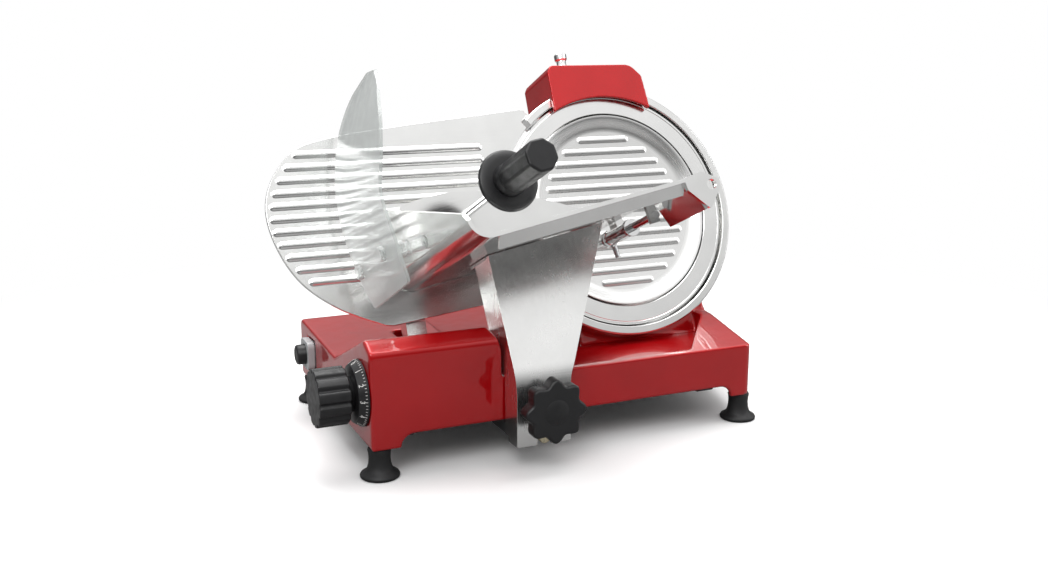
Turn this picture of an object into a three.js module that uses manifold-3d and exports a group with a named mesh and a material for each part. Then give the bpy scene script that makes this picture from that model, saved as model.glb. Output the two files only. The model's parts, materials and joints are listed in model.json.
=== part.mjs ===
// Deli meat slicer with a gravity feed, in millimetres, +Z up.
// +X runs along the carriage travel, +Y points away from the operator's side.
// Layout coordinates start midway between the feet, on the bench. The finished group is then
// shifted so that its origin is the bottom centre of the whole machine's bounding box.
import * as THREE from 'three';
import { mergeVertices } from 'three/addons/utils/BufferGeometryUtils.js';
import Module from 'manifold-3d';

const wasm = await Module();
wasm.setup();

// ---------------------------------------------------------------- driving dimensions
const DEG = Math.PI / 180;
const GAP = 0.3;                       // free space between neighbouring pieces

const BLADE_RADIUS = 125;
const BLADE_TILT = 23.2 * DEG;         // the blade leans back from the vertical by this much
const BLADE_CENTRE = [128.5, 40, 191.7];
const COVER_RADIUS = 104;
const GUARD_RADIUS = 135.8;
const GUARD_START = 132;               // the blade is bare from this angle ...
const GUARD_END = 225;                 // ... round the left side to this one, in degrees
const BACK_PLATE = -15.7;              // rear face of the ring guard, along the blade axis

const BASE_LEFT = -196;
const BASE_RIGHT = 187;
const BASE_RIGHT_REAR = 222;           // the casting widens towards the blade tower
const BASE_FRONT = -126;
const BASE_REAR = 126;
const LEG_BOTTOM = 27;
const SKIRT_BOTTOM = 38;
const DECK_TOP = 77;
const VALLEY_FLOOR = 58;
const WALL = 4;
const BLOCK_RIGHT = -76;               // right end of the raised gauge block
const BLOCK_TOP = 112;
const RIDGE = [-108, 121];             // y and z of the ridge on top of the gauge block
const RIDGE_FOOT = [-10, 79];

const FOOT_X = [-186, 183];
const FOOT_Y = [-114, 114];
const FOOT_REAR_RIGHT_X = 205;

const AXLE_RADIUS = 6;
const PULLEY_RADIUS = 44;
const MOTOR_V = -75;                   // motor axis below the blade axis, in the blade plane
const MOTOR_PULLEY_RADIUS = 12;
const MOTOR_RADIUS = 36;
const MOTOR_END = -102;
const HUMP_RADIUS = MOTOR_RADIUS + 7;
const BELT_THICKNESS = 2;
const TOWER_FRONT = -16;
const TOWER_BACK = -46;

const TRAY_CORNER = [-253.3, -69];     // bend between floor and fence, in the blade plane
const TRAY_SLOPE = 10.7 * DEG;
const TRAY_FRONT = 220;
const TRAY_REAR = 4;
const SHEET = 4;                       // tray sheet thickness
const FLOOR_END = 205;
const FENCE_HEIGHT_FRONT = 22;
const FENCE_HEIGHT_REAR = 86;

const FLAP = [155, 216];               // the floor's bent edge, along the feed direction
const GUARD_OFFSET = -37;              // hand guard, beside the fence
const GUARD_SHEET = 3;
const GUARD_BEND_START = 55;           // height at which the hand guard starts to curl over the tray
const GUARD_BEND_RADIUS = 215;
const GUARD_SCREWS = [[25, 116], [25, 39]];
const PUSH_ROD = [203, -14.5];
const PUSH_ROD_RADIUS = 4;
const PLATE_S = 62;                    // rear face of the pusher plate
const PLATE_SHEET = 3;
const SLEEVE = [62, 112];
const HANDLE_AT = [76, 51];

const ROD_Y = -103;                    // carriage slide rod
const ROD_Z = 43;
const ROD_RADIUS = 7;
const ARM_FRONT = -155;
const ARM_BEND = 80;
const ARM_LEAN = 32 * DEG;
const ARM_X = [-74.5, -22.5];
const ARM_TOP_RIGHT = 50;
const CARRIAGE_X = -48.5;
const STAR_Z = 59;                     // clamping knob on the front of the arm
const STAR_RADIUS = 28.6;
const STAR_LOBE = 2.4;
const PIN_Z = 28.5;                    // locating pin under the clamping knob
const PIN_NOTCH = 6.6;

const KNOB_Y = -98;                    // thickness knob axis
const KNOB_Z = 72;
const KNOB_RADIUS = 25;
const SWITCH_Y = 80;
const SWITCH_Z = 60;
const CORD_AT = [-150, 52];
const GAUGE_FACE = 4;                  // gauge plate thickness
const POST_X = -108;                   // gauge plate post
const POST_U = POST_X - BLADE_CENTRE[0];
const SLIDE_V = -150;                  // gauge slide rod, in the blade plane
const CAM_X = [-132, -126];
const CAM_START = 9;                   // cam radius at the zero setting
const GAUGE_STROKE = 12;
const KNOB_TURN = 300 * DEG;
const FOLLOWER_RADIUS = 3;
const FOLLOWER_AT = [-164.4, 79.7 - CAM_START - FOLLOWER_RADIUS - 0.4];   // level with the cam's axis

const SHARPENER_LEFT = -59;
const SHARPENER_RIGHT = 56;
const SHARPENER_PIN = [-34, -5];
const STONE_U = 24;                    // the two stones sit this far each side of the middle
const STONE_V = 121;

// ---------------------------------------------------------------- materials
function finish(color, roughness, metalness, extra = {}) {
  return new THREE.MeshStandardMaterial({ color, roughness, metalness, ...extra });
}

const RED_PAINT = finish(0xa5161b, 0.22, 0.35);
const POLISHED = finish(0xd8d8d6, 0.15, 1.0);
const SATIN = finish(0xc9cac8, 0.38, 1.0);
const STEEL = finish(0xb4b6b8, 0.3, 1.0);
const CHROME = finish(0xe6e6e6, 0.08, 1.0);
const BLACK_PLASTIC = finish(0x17181a, 0.45, 0.0);
const RUBBER = finish(0x1b1c1d, 0.8, 0.0);
const GREY_PLASTIC = finish(0x9a9b9d, 0.4, 0.1);
const BRASS = finish(0xc9b98a, 0.4, 0.6);
const CLEAR = finish(0xe4e9e6, 0.1, 0.0, { transparent: true, opacity: 0.35 });
const STONE_GREY = finish(0x8d8a85, 0.95, 0.0);
const PINK_STONE = finish(0xb58a80, 0.95, 0.0);
const MOTOR_PAINT = finish(0x3a3d40, 0.5, 0.6);
const BOARD_GREEN = finish(0x1f5a3a, 0.6, 0.0);

// ---------------------------------------------------------------- solid helpers
function signedVolume(positions, index) {
  const a = new THREE.Vector3();
  const b = new THREE.Vector3();
  const c = new THREE.Vector3();
  let total = 0;
  for (let i = 0; i < index.length; i += 3) {
    a.fromArray(positions, index[i] * 3);
    b.fromArray(positions, index[i + 1] * 3);
    c.fromArray(positions, index[i + 2] * 3);
    total += a.dot(b.cross(c));
  }
  return total;
}

// One closed mesh with shared vertices, no collapsed triangles, and faces pointing out.
function closed(geometry) {
  const plain = geometry.clone();
  plain.deleteAttribute('normal');
  plain.deleteAttribute('uv');
  const merged = mergeVertices(plain, 1e-3);
  const source = merged.index.array;
  const kept = [];
  for (let i = 0; i < source.length; i += 3) {
    const [p, q, r] = [source[i], source[i + 1], source[i + 2]];
    if (p !== q && q !== r && r !== p) kept.push(p, q, r);
  }
  if (signedVolume(merged.attributes.position.array, kept) < 0) kept.reverse();
  const result = new THREE.BufferGeometry();
  result.setAttribute('position', new THREE.BufferAttribute(merged.attributes.position.array, 3));
  result.setIndex(kept);
  result.computeVertexNormals();
  return result;
}

function toSolid(geometry) {
  const shape = closed(geometry);
  return new wasm.Manifold(new wasm.Mesh({
    numProp: 3,
    vertProperties: new Float32Array(shape.attributes.position.array),
    triVerts: new Uint32Array(shape.index.array),
  }));
}

function toGeometry(solid) {
  const mesh = solid.getMesh();
  const result = new THREE.BufferGeometry();
  result.setAttribute('position', new THREE.BufferAttribute(mesh.vertProperties, 3));
  result.setIndex(new THREE.BufferAttribute(mesh.triVerts, 1));
  result.computeVertexNormals();
  return result;
}

function join(...geometries) {
  return toGeometry(geometries.map(toSolid).reduce((sum, next) => sum.add(next)));
}

function cut(body, ...tools) {
  return toGeometry(tools.map(toSolid).reduce((rest, tool) => rest.subtract(tool), toSolid(body)));
}

function common(a, b) {
  return toGeometry(toSolid(a).intersect(toSolid(b)));
}

const AXES = {
  x: [[0, 1, 0], [0, 0, 1], [1, 0, 0]],   // outline in (y, z), pushed along x
  y: [[1, 0, 0], [0, 0, 1], [0, 1, 0]],   // outline in (x, z), pushed along y
  z: [[1, 0, 0], [0, 1, 0], [0, 0, 1]],   // outline in (x, y), pushed along z
};

function alongAxis(geometry, axis) {
  const [first, second, third] = AXES[axis].map((v) => new THREE.Vector3(...v));
  return closed(geometry.applyMatrix4(new THREE.Matrix4().makeBasis(first, second, third)));
}

// A flat outline pushed from one coordinate to another along an axis.
function prism(axis, points, from, to) {
  const shape = new THREE.Shape(points.map(([p, q]) => new THREE.Vector2(p, q)));
  const geometry = new THREE.ExtrudeGeometry(shape, { depth: to - from, bevelEnabled: false });
  geometry.translate(0, 0, from);
  return alongAxis(geometry, axis);
}

function box(x0, x1, y0, y1, z0, z1) {
  const geometry = new THREE.BoxGeometry(x1 - x0, y1 - y0, z1 - z0);
  geometry.translate((x0 + x1) / 2, (y0 + y1) / 2, (z0 + z1) / 2);
  return closed(geometry);
}

// A turned piece: [radius, height] points revolved about an axis that passes through "at".
function turned(axis, profile, at = [0, 0], segments = 16) {
  const points = profile.map(([r, h]) => new THREE.Vector2(r, h));
  if (profile[0][0] > 0 || profile[profile.length - 1][0] > 0) points.push(points[0].clone());
  const geometry = new THREE.LatheGeometry(points, segments);
  geometry.rotateX(Math.PI / 2);
  geometry.translate(at[0], at[1], 0);
  return alongAxis(geometry, axis);
}

function cylinder(axis, radius, from, to, at = [0, 0], segments = 16) {
  return turned(axis, [[0, from], [radius, from], [radius, to], [0, to]], at, segments);
}

function pipe(axis, outer, inner, from, to, at = [0, 0], segments = 20) {
  return turned(axis, [[inner, from], [outer, from], [outer, to], [inner, to]], at, segments);
}

// An outline whose corners are rounded: a radius for all corners, or one per corner.
function rounded(points, radius, steps = 4) {
  const result = [];
  points.forEach((corner, i) => {
    const size = Array.isArray(radius) ? radius[i] : radius;
    const here = new THREE.Vector2(...corner);
    const before = new THREE.Vector2(...points[(i + points.length - 1) % points.length]).sub(here);
    const after = new THREE.Vector2(...points[(i + 1) % points.length]).sub(here);
    const half = Math.acos(before.clone().normalize().dot(after.clone().normalize())) / 2;
    const back = Math.min(size / Math.tan(half), before.length() * 0.49, after.length() * 0.49);
    if (size <= 0) {
      result.push(corner);
      return;
    }
    const start = here.clone().add(before.setLength(back));
    const end = here.clone().add(after.setLength(back));
    const curve = new THREE.QuadraticBezierCurve(start, here, end);
    curve.getPoints(steps).forEach((p) => result.push([p.x, p.y]));
  });
  return result;
}

function circle(radius, at = [0, 0], segments = 20, start = 0, sweep = 360) {
  const points = [];
  const last = sweep === 360 ? segments - 1 : segments;
  for (let i = 0; i <= last; i += 1) {
    const angle = (start + (sweep * i) / segments) * DEG;
    points.push([at[0] + radius * Math.cos(angle), at[1] + radius * Math.sin(angle)]);
  }
  return points;
}

// ---------------------------------------------------------------- groups
const machine = new THREE.Group();
const root = new THREE.Group();
machine.add(root);

// x runs along the machine, y up the blade plane, z out of it towards the operator.
const bladeFrame = new THREE.Group();
bladeFrame.position.set(...BLADE_CENTRE);
bladeFrame.rotation.x = Math.PI / 2 - BLADE_TILT;
root.add(bladeFrame);

// x runs up the sloping tray floor, y leaves it, z is the feed direction seen from the blade.
const trayFrame = new THREE.Group();
trayFrame.position.set(TRAY_CORNER[0], TRAY_CORNER[1], 0);
trayFrame.rotation.z = TRAY_SLOPE;
bladeFrame.add(trayFrame);
machine.updateMatrixWorld(true);

// x runs along the machine, y up the slope of the carriage arm, z out of its face.
const leanFrame = new THREE.Group();
leanFrame.position.set(0, ARM_FRONT, ARM_BEND);
leanFrame.rotation.x = Math.PI / 2 - ARM_LEAN;
leanFrame.updateMatrixWorld(true);

function addPiece(frame, name, geometry, material) {
  const mesh = new THREE.Mesh(closed(geometry), material);
  mesh.name = name;
  frame.add(mesh);
}

// Geometry drawn in one frame, expressed in another, for cuts that cross frames.
function carry(geometry, from, to) {
  const matrix = to.matrixWorld.clone().invert().multiply(from.matrixWorld);
  return geometry.clone().applyMatrix4(matrix);
}

// ---------------------------------------------------------------- base
function beltOutline(extra) {
  const big = PULLEY_RADIUS + extra;
  const small = MOTOR_PULLEY_RADIUS + extra;
  const lean = Math.asin((big - small) / -MOTOR_V) / DEG;
  return [
    ...circle(big, [0, 0], 24, -lean, 180 + 2 * lean),
    ...circle(small, [0, MOTOR_V], 10, 180 + lean, 180 - 2 * lean),
  ];
}

function towerOutline() {
  return rounded([[-62, -152], [95, -152], [93, -100], [60, -40], [60, 40], [24, 62], [-24, 62],
    [-60, 40]], [0, 0, 12, 30, 24, 16, 16, 24]);
}

function baseOuter() {
  const plan = rounded([[BASE_LEFT, BASE_FRONT], [BASE_RIGHT, BASE_FRONT], [BASE_RIGHT_REAR, -2],
    [BASE_RIGHT_REAR, BASE_REAR], [BASE_LEFT, BASE_REAR]], [6, 6, 30, 10, 6]);
  const slab = prism('z', plan, LEG_BOTTOM, DECK_TOP);
  const wedge = rounded([[BASE_FRONT, LEG_BOTTOM], [BASE_REAR, LEG_BOTTOM], [BASE_REAR, 86],
    RIDGE_FOOT, RIDGE, [BASE_FRONT, BLOCK_TOP]], [0, 0, 6, 12, 4, 6]);
  const block = common(
    prism('x', wedge, BASE_LEFT, BLOCK_RIGHT),
    prism('y', rounded([[BASE_LEFT, LEG_BOTTOM], [BLOCK_RIGHT, LEG_BOTTOM], [BLOCK_RIGHT, 130],
      [BASE_LEFT, 130]], [0, 0, 34, 6]), BASE_FRONT, BASE_REAR),
  );
  const valley = prism('z', rounded([[-62, BASE_FRONT + 9], [122, BASE_FRONT + 9], [206, -6],
    [206, 10], [-62, 10]], [8, 10, 4, 0, 0]), VALLEY_FLOOR, DECK_TOP + 20);
  const tower = carry(prism('z', towerOutline(), TOWER_BACK, TOWER_FRONT), bladeFrame, root);
  const hump = carry(join(
    cylinder('z', HUMP_RADIUS, MOTOR_END - 4, TOWER_BACK + 1, [0, MOTOR_V]),
    box(-HUMP_RADIUS, HUMP_RADIUS, -140, MOTOR_V, MOTOR_END - 4, TOWER_BACK + 1),
  ), bladeFrame, root);
  const clipped = common(hump, box(-300, 300, -200, BASE_REAR, VALLEY_FLOOR, 300));
  const towerClipped = common(tower, box(-300, 300, -200, 200, VALLEY_FLOOR - 6, 300));
  return join(cut(join(slab, block), valley), towerClipped, clipped);
}

function baseCavities() {
  const inset = WALL;
  const plan = [[BASE_LEFT + inset, BASE_FRONT + inset], [BASE_RIGHT - inset, BASE_FRONT + inset],
    [BASE_RIGHT_REAR - inset - 1, 0], [BASE_RIGHT_REAR - inset, BASE_REAR - inset],
    [BASE_LEFT + inset, BASE_REAR - inset]];
  const low = prism('z', plan, LEG_BOTTOM - 5, VALLEY_FLOOR - WALL);
  const rear = prism('z', [[BASE_LEFT + inset, 14], [BASE_RIGHT_REAR - inset, 14],
    [BASE_RIGHT_REAR - inset, BASE_REAR - inset], [BASE_LEFT + inset, BASE_REAR - inset]],
  LEG_BOTTOM, DECK_TOP - WALL);
  const block = prism('x', [[BASE_FRONT + inset, LEG_BOTTOM], [16, LEG_BOTTOM], [16, DECK_TOP - WALL],
    [RIDGE_FOOT[0] - 2, RIDGE_FOOT[1] - inset - 1], [RIDGE[0], RIDGE[1] - inset - 1],
    [BASE_FRONT + inset, BLOCK_TOP - inset]], BASE_LEFT + inset, BLOCK_RIGHT - 15);
  const arch = (y0, y1) => prism('y', [[BASE_LEFT + 25, LEG_BOTTOM - 5], [BASE_RIGHT - 19, LEG_BOTTOM - 5],
    [BASE_RIGHT - 22, SKIRT_BOTTOM], [BASE_LEFT + 32, SKIRT_BOTTOM]], y0, y1);
  const motorSpace = carry(join(
    cylinder('z', MOTOR_RADIUS + 3, MOTOR_END, TOWER_BACK, [0, MOTOR_V]),
    box(-MOTOR_RADIUS - 3, MOTOR_RADIUS + 3, -124, MOTOR_V, MOTOR_END, TOWER_BACK),
  ), bladeFrame, root);
  const pulleySpace = carry(prism('z', beltOutline(6), TOWER_BACK + 5, TOWER_FRONT + 1), bladeFrame, root);
  const shaftHole = carry(cylinder('z', 9, TOWER_BACK - 2, TOWER_BACK + 8, [0, MOTOR_V], 16),
    bladeFrame, root);
  const axleHole = carry(cylinder('z', AXLE_RADIUS + 0.2, TOWER_BACK - 5, TOWER_BACK + 8, [0, 0], 24),
    bladeFrame, root);
  return [low, rear, block, arch(BASE_FRONT - 5, BASE_FRONT + 8), arch(BASE_REAR - 8, BASE_REAR + 5),
    motorSpace, pulleySpace, shaftHole, axleHole];
}

function baseOpenings() {
  const knobHole = cylinder('x', 7, BASE_LEFT - 2, BASE_LEFT + 8, [KNOB_Y, KNOB_Z], 20);
  const postSlot = box(POST_X - 13, POST_X + 13, -3, 50, 66, 96);
  const switchHole = box(BASE_LEFT - 2, BASE_LEFT + 6, 66, 94, 48, 72);
  const cordHole = cylinder('y', 5.3, BASE_REAR - 6, BASE_REAR + 2, CORD_AT, 16);
  return [knobHole, postSlot, switchHole, cordHole];
}

const feet = [
  ['front_left', FOOT_X[0], FOOT_Y[0]],
  ['front_right', FOOT_X[1], FOOT_Y[0]],
  ['rear_left', FOOT_X[0], FOOT_Y[1]],
  ['rear_right', FOOT_REAR_RIGHT_X, FOOT_Y[1]],
];

function baseCasting() {
  const hollow = cut(baseOuter(), ...baseCavities());
  const bosses = feet.map(([, x, y]) => common(
    cylinder('z', 11, LEG_BOTTOM, VALLEY_FLOOR - 2, [x, y], 20),
    box(BASE_LEFT + 1, x > 0 ? x + 7 : BASE_RIGHT, BASE_FRONT + 1, BASE_REAR - 1, LEG_BOTTOM, VALLEY_FLOOR),
  ));
  const rodBoss = carry(box(POST_U - 10, POST_U + 10, SLIDE_V - 11, SLIDE_V + 11, 102, 109),
    bladeFrame, root);
  const rodHole = carry(cylinder('z', 6.4, 100, 108, [POST_U, SLIDE_V], 24), bladeFrame, root);
  const screwHoles = feet.map(([, x, y]) => cylinder('z', 3.3, LEG_BOTTOM - 1, 46, [x, y], 10));
  return cut(join(hollow, ...bosses, rodBoss), ...baseOpenings(), ...screwHoles, rodHole);
}

function addFeet() {
  const profile = [[3.3, 8], [6.5, 8], [6.5, 0], [16.4, 0], [17.4, 3], [11.5, 7.5], [9.5, LEG_BOTTOM - GAP],
    [3.3, LEG_BOTTOM - GAP]];
  for (const [place, x, y] of feet) {
    addPiece(root, `foot_${place}`, turned('z', profile, [x, y], 16), RUBBER);
    const screw = turned('z', [[0, 3.6], [5.6, 3.6], [5.6, 8 - GAP], [3, 8 - GAP], [3, 44], [0, 44]],
      [x, y], 10);
    addPiece(root, `foot_screw_${place}`, screw, STEEL);
  }
}

function bottomPlate() {
  const outline = rounded([[BASE_LEFT + 18, -82], [BASE_RIGHT - 8, -82], [BASE_RIGHT_REAR - 12, -6],
    [BASE_RIGHT_REAR - 12, 98], [BASE_RIGHT_REAR - 34, 98], [BASE_RIGHT_REAR - 34, 116],
    [BASE_LEFT + 26, 116], [BASE_LEFT + 26, 98], [BASE_LEFT + 18, 98]], 3, 2);
  return prism('z', outline, 31, 32.5);
}

// ---------------------------------------------------------------- blade, cover and guard
function ringGuard() {
  const ring = turned('z', [[126.4, 2.6], [126.4, -12.7], [63, -12.7], [63, BACK_PLATE],
    [GUARD_RADIUS, BACK_PLATE], [GUARD_RADIUS, 2.6]], [0, 0], 64);
  const bare = prism('z', [[0, 0], ...circle(220, [0, 0], 6, GUARD_START, GUARD_END - GUARD_START)],
    -30, 10);
  return cut(ring, bare);
}

function blade() {
  return turned('z', [[17, -8.5], [102.5, -8.5], [104.8, -0.3], [124.4, 0], [BLADE_RADIUS, -0.5],
    [117, -4.6], [108, -11.5], [17, -11.5]], [0, 0], 56);
}

function bladePulley() {
  const r = PULLEY_RADIUS;
  return turned('z', [[13, -11.8], [36, -11.8], [36, -18.3], [r + 3, -19], [r, -21], [r, -35], [r + 3, -38],
    [13, -38]], [0, 0], 28);
}

function addBearings() {
  addPiece(bladeFrame, 'blade_bearing_front', pipe('z', 12.9, AXLE_RADIUS + 0.15, -21, -13, [0, 0], 20),
    STEEL);
  addPiece(bladeFrame, 'blade_bearing_rear', pipe('z', 12.9, AXLE_RADIUS + 0.15, -33, -25, [0, 0], 20),
    STEEL);
}

function bladeAxle() {
  const r = AXLE_RADIUS;
  return turned('z', [[3.3, -10.5], [r, -10.5], [r, -39], [9.5, -39], [9.5, -40.6], [r, -40.6], [r, -54],
    [3.3, -54]], [0, 0], 20);
}

function coverRibs() {
  const ribs = [];
  for (let v = -78; v <= 78; v += 13) {
    const reach = Math.sqrt(86 ** 2 - v ** 2) - 14;
    ribs.push(prism('z', rounded([[-reach, v - 2.6], [reach, v - 2.6], [reach, v + 2.6], [-reach, v + 2.6]],
      2.5, 2), -3.4, -1.6));
  }
  return ribs;
}

function bladeCover() {
  const plate = turned('z', [[0, -5.6], [98, -5.6], [COVER_RADIUS - 0.6, -1.6], [COVER_RADIUS, 0.4],
    [102, 0.4], [90, -3], [0, -3]], [0, 0], 40);
  const stud = cylinder('z', 3, -96, -5, [0, 0], 20);
  return join(plate, ...coverRibs(), stud);
}

function tieRodKnob() {
  return turned('z', [[3.3, -92], [7, -92], [8, -80], [17, -78], [17, -66], [12, -62], [7, -55],
    [3.3, -55]],
    [0, 0], 20);
}

function sliceDeflector() {
  const sheet = prism('z', rounded([[-122, -112], [-66, -112], [-66, 44], [-84, 70], [-118, 40]], 8),
    -20.5, -19);
  const fold = prism('z', rounded([[-66.5, -60], [-66.5, 40], [-63.2, 40], [-63.2, -60]], 0), -34, -19);
  return join(sheet, fold);
}

// ---------------------------------------------------------------- drive
function motorBody() {
  const can = turned('z', [[0, MOTOR_END + 3], [MOTOR_RADIUS - 4, MOTOR_END + 3],
    [MOTOR_RADIUS, MOTOR_END + 7],
    [MOTOR_RADIUS, TOWER_BACK - 4], [MOTOR_RADIUS - 4, TOWER_BACK - GAP], [5.2, TOWER_BACK - GAP],
    [5.2, -80], [0, -80]], [0, MOTOR_V], 20);
  return can;
}

function motorPulley() {
  const r = MOTOR_PULLEY_RADIUS;
  return turned('z', [[0, -78], [5, -78], [5, -38], [r + 2, -38], [r + 2, -36], [r, -35], [r, -21],
    [r + 2, -20],
    [r + 2, -18.5], [0, -18.5]], [0, MOTOR_V], 16);
}

function driveBelt() {
  return cut(prism('z', beltOutline(BELT_THICKNESS + 0.2), -34, -22),
    prism('z', beltOutline(0.2), -36, -20));
}

// ---------------------------------------------------------------- gauge plate
// The plate ends in an arc round the blade on the right and in a wide curve on the left.
function gaugeOutline() {
  const edge = circle(128.6, [0, 0], 22, 134, 85);
  const corner = [[-226, 101], [-95, 113], [-89, 109], ...circle(137, [0, 0], 2, 129.5, 4)];
  const left = [[-270, -98], [-290, -96], [-322, -74], [-352, -42], [-367, -4], [-369, 24], [-357, 58],
    [-338, 80], [-318, 88]];
  return [...edge, ...left, [-283, 94], ...corner];
}

function gaugePlate() {
  const plate = prism('z', gaugeOutline(), -GAUGE_FACE, 0);
  const ribs = [];
  for (let v = -56; v <= 76; v += 12.4) {
    ribs.push(prism('z', rounded([[-330, v - 1.2], [-150, v - 1.2], [-150, v + 1.2], [-330, v + 1.2]], 0),
      -0.6, 1.4));
  }
  const stiffener = box(POST_U - 30, POST_U + 30, -92, 20, -12, -GAUGE_FACE);
  return join(plate, ...ribs, stiffener);
}

function gaugeCarrier() {
  const x = POST_U;
  const post = box(x - 10, x + 10, -150, -30, -30, -12 - GAP);
  const beam = box(x - 9.5, x + 9.5, -158, -139, -19, 70);
  const block = box(x - 13, x + 13, -168, -137, 42, 76);
  const follower = cylinder('x', FOLLOWER_RADIUS, CAM_X[0] - BLADE_CENTRE[0] - 2, x - 12, FOLLOWER_AT, 16);
  const bore = cylinder('z', 6.06, 10, 90, [x, SLIDE_V], 24);
  const tunnel = cylinder('z', 7, -40, 44, [x, SLIDE_V], 24);
  return cut(join(post, beam, block, follower), bore, tunnel);
}

function gaugeSlideRod() {
  return cylinder('z', 6, 30, 107.5, [POST_U, SLIDE_V], 24);
}

function gaugeSpring() {
  const turns = 6;
  const radius = 8.2;
  const start = 79;
  const length = 22;
  class Coil extends THREE.Curve {
    getPoint(t, target = new THREE.Vector3()) {
      const angle = t * Math.PI * 2 * turns;
      return target.set(POST_U + radius * Math.cos(angle), SLIDE_V + radius * Math.sin(angle),
        start + length * t);
    }
  }
  const wire = new THREE.Shape(circle(0.9, [0, 0], 5).map(([p, q]) => new THREE.Vector2(p, q)));
  return new THREE.ExtrudeGeometry(wire, { extrudePath: new Coil(), steps: 48, bevelEnabled: false });
}

function thicknessKnob() {
  const grip = circle(KNOB_RADIUS, [0, 0], 32).map(([p, q], i) => {
    const depth = i % 4 === 0 ? 0.93 : 1;
    return [KNOB_Y + p * depth, KNOB_Z + q * depth];
  });
  const barrel = prism('x', grip, -238, -210);
  const neck = turned('x', [[0, -211], [17, -211], [15, -205.6], [0, -205.6]], [KNOB_Y, KNOB_Z], 20);
  return join(barrel, neck);
}

function dialRing() {
  return turned('x', [[0, -205.3], [25, -205.3], [29.5, -198], [29.5, BASE_LEFT - 0.6],
    [0, BASE_LEFT - 0.6]],
    [KNOB_Y, KNOB_Z], 24);
}

// The spiral pushes the follower straight back, one gauge stroke over the knob's turn.
function gaugeCam() {
  const shaft = cylinder('x', 6, BASE_LEFT - GAP, CAM_X[1], [KNOB_Y, KNOB_Z], 20);
  const spiral = [];
  const steps = 30;
  for (let i = 0; i <= steps; i += 1) {
    const radius = CAM_START + (GAUGE_STROKE * i) / steps;
    const angle = -BLADE_TILT - (KNOB_TURN * i) / steps;
    spiral.push([KNOB_Y + radius * Math.cos(angle), KNOB_Z + radius * Math.sin(angle)]);
  }
  return join(shaft, prism('x', spiral, CAM_X[0], CAM_X[1]));
}

// ---------------------------------------------------------------- switch and wiring
function switchHousing() {
  const body = box(BASE_LEFT - 1, BASE_LEFT + 24, 68, 92, 49.5, 70.5);
  const plate = prism('x', rounded([[SWITCH_Y - 15, SWITCH_Z - 14], [SWITCH_Y + 15, SWITCH_Z - 14],
    [SWITCH_Y + 15, SWITCH_Z + 14], [SWITCH_Y - 15, SWITCH_Z + 14]], 8), BASE_LEFT - 7, BASE_LEFT - GAP);
  const bore = cylinder('x', 10.4, BASE_LEFT - 8, BASE_LEFT + 12, [SWITCH_Y, SWITCH_Z], 20);
  return cut(join(body, plate), bore);
}

function powerButton() {
  return turned('x', [[0, BASE_LEFT - 16], [8.6, BASE_LEFT - 16], [10, BASE_LEFT - 14.4],
    [10, BASE_LEFT + 4],
    [0, BASE_LEFT + 4]], [SWITCH_Y, SWITCH_Z], 20);
}

function cordBush() {
  return turned('y', [[3.4, 119], [7, 119], [7, BASE_REAR - WALL - GAP], [5, BASE_REAR - WALL - GAP],
    [5, BASE_REAR + GAP], [8, BASE_REAR + GAP], [6, 134], [3.4, 134]], CORD_AT, 14);
}

function powerCord() {
  const path = new THREE.CatmullRomCurve3([
    new THREE.Vector3(-150, 112, 52), new THREE.Vector3(-150, 126, 52), new THREE.Vector3(-150, 141, 52),
    new THREE.Vector3(-149, 156, 46),
    new THREE.Vector3(-147, 164, 26), new THREE.Vector3(-142, 160, 6), new THREE.Vector3(-132, 140, 3.4),
    new THREE.Vector3(-110, 100, 3.3), new THREE.Vector3(-60, 60, 3.3), new THREE.Vector3(0, 50, 3.3),
  ]);
  const section = new THREE.Shape(circle(3, [0, 0], 8).map(([p, q]) => new THREE.Vector2(p, q)));
  return new THREE.ExtrudeGeometry(section, { extrudePath: path, steps: 30, bevelEnabled: false });
}

// ---------------------------------------------------------------- sharpener
function sharpenerBase() {
  const body = prism('z', rounded([[-46, 98], [46, 98], [46, 141], [-46, 141]], 6), -44, BACK_PLATE - GAP);
  const grinderHole = cylinder('z', 5.3, -50, -10, [-STONE_U, STONE_V], 20);
  const finerHole = cylinder('z', 5.3, -50, -10, [STONE_U, STONE_V], 20);
  const grinderPocket = cylinder('z', 21, -31, -10, [-STONE_U, STONE_V], 20);
  const finerPocket = cylinder('z', 16, -31, -10, [STONE_U, STONE_V], 20);
  return cut(body, grinderHole, finerHole, grinderPocket, finerPocket);
}

function sharpenerCover() {
  const left = SHARPENER_LEFT;
  const right = SHARPENER_RIGHT;
  const outer = prism('z', rounded([[left + 1, 100], [right + 1, 100], [right - 4, 144], [right - 16, 157],
    [left + 4, 157], [left, 150]], [0, 0, 6, 14, 4, 4]), -56, 9);
  const inner = prism('z', rounded([[left + 4, 90], [right - 3, 90], [right - 7, 142], [right - 18, 153.5],
    [left + 6, 153.5], [left + 3.4, 148]], [0, 0, 6, 12, 4, 3]), -60, 6);
  const bladeArc = cylinder('z', 121, -70, 20, [0, 0], 64);
  const guardArc = cylinder('z', GUARD_RADIUS + 0.6, -70, 3.2, [0, 0], 64);
  const pinHole = cylinder('y', 3.4, 140, 165, SHARPENER_PIN, 16);
  return cut(outer, inner, bladeArc, guardArc, pinHole);
}

function sharpenerPin() {
  return turned('y', [[0, 143], [3, 143], [3, 157.3], [6.8, 157.3], [6.8, 160], [5, 162], [5, 166],
    [6.6, 168],
    [6.6, 174], [0, 174]], SHARPENER_PIN, 16);
}

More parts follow.
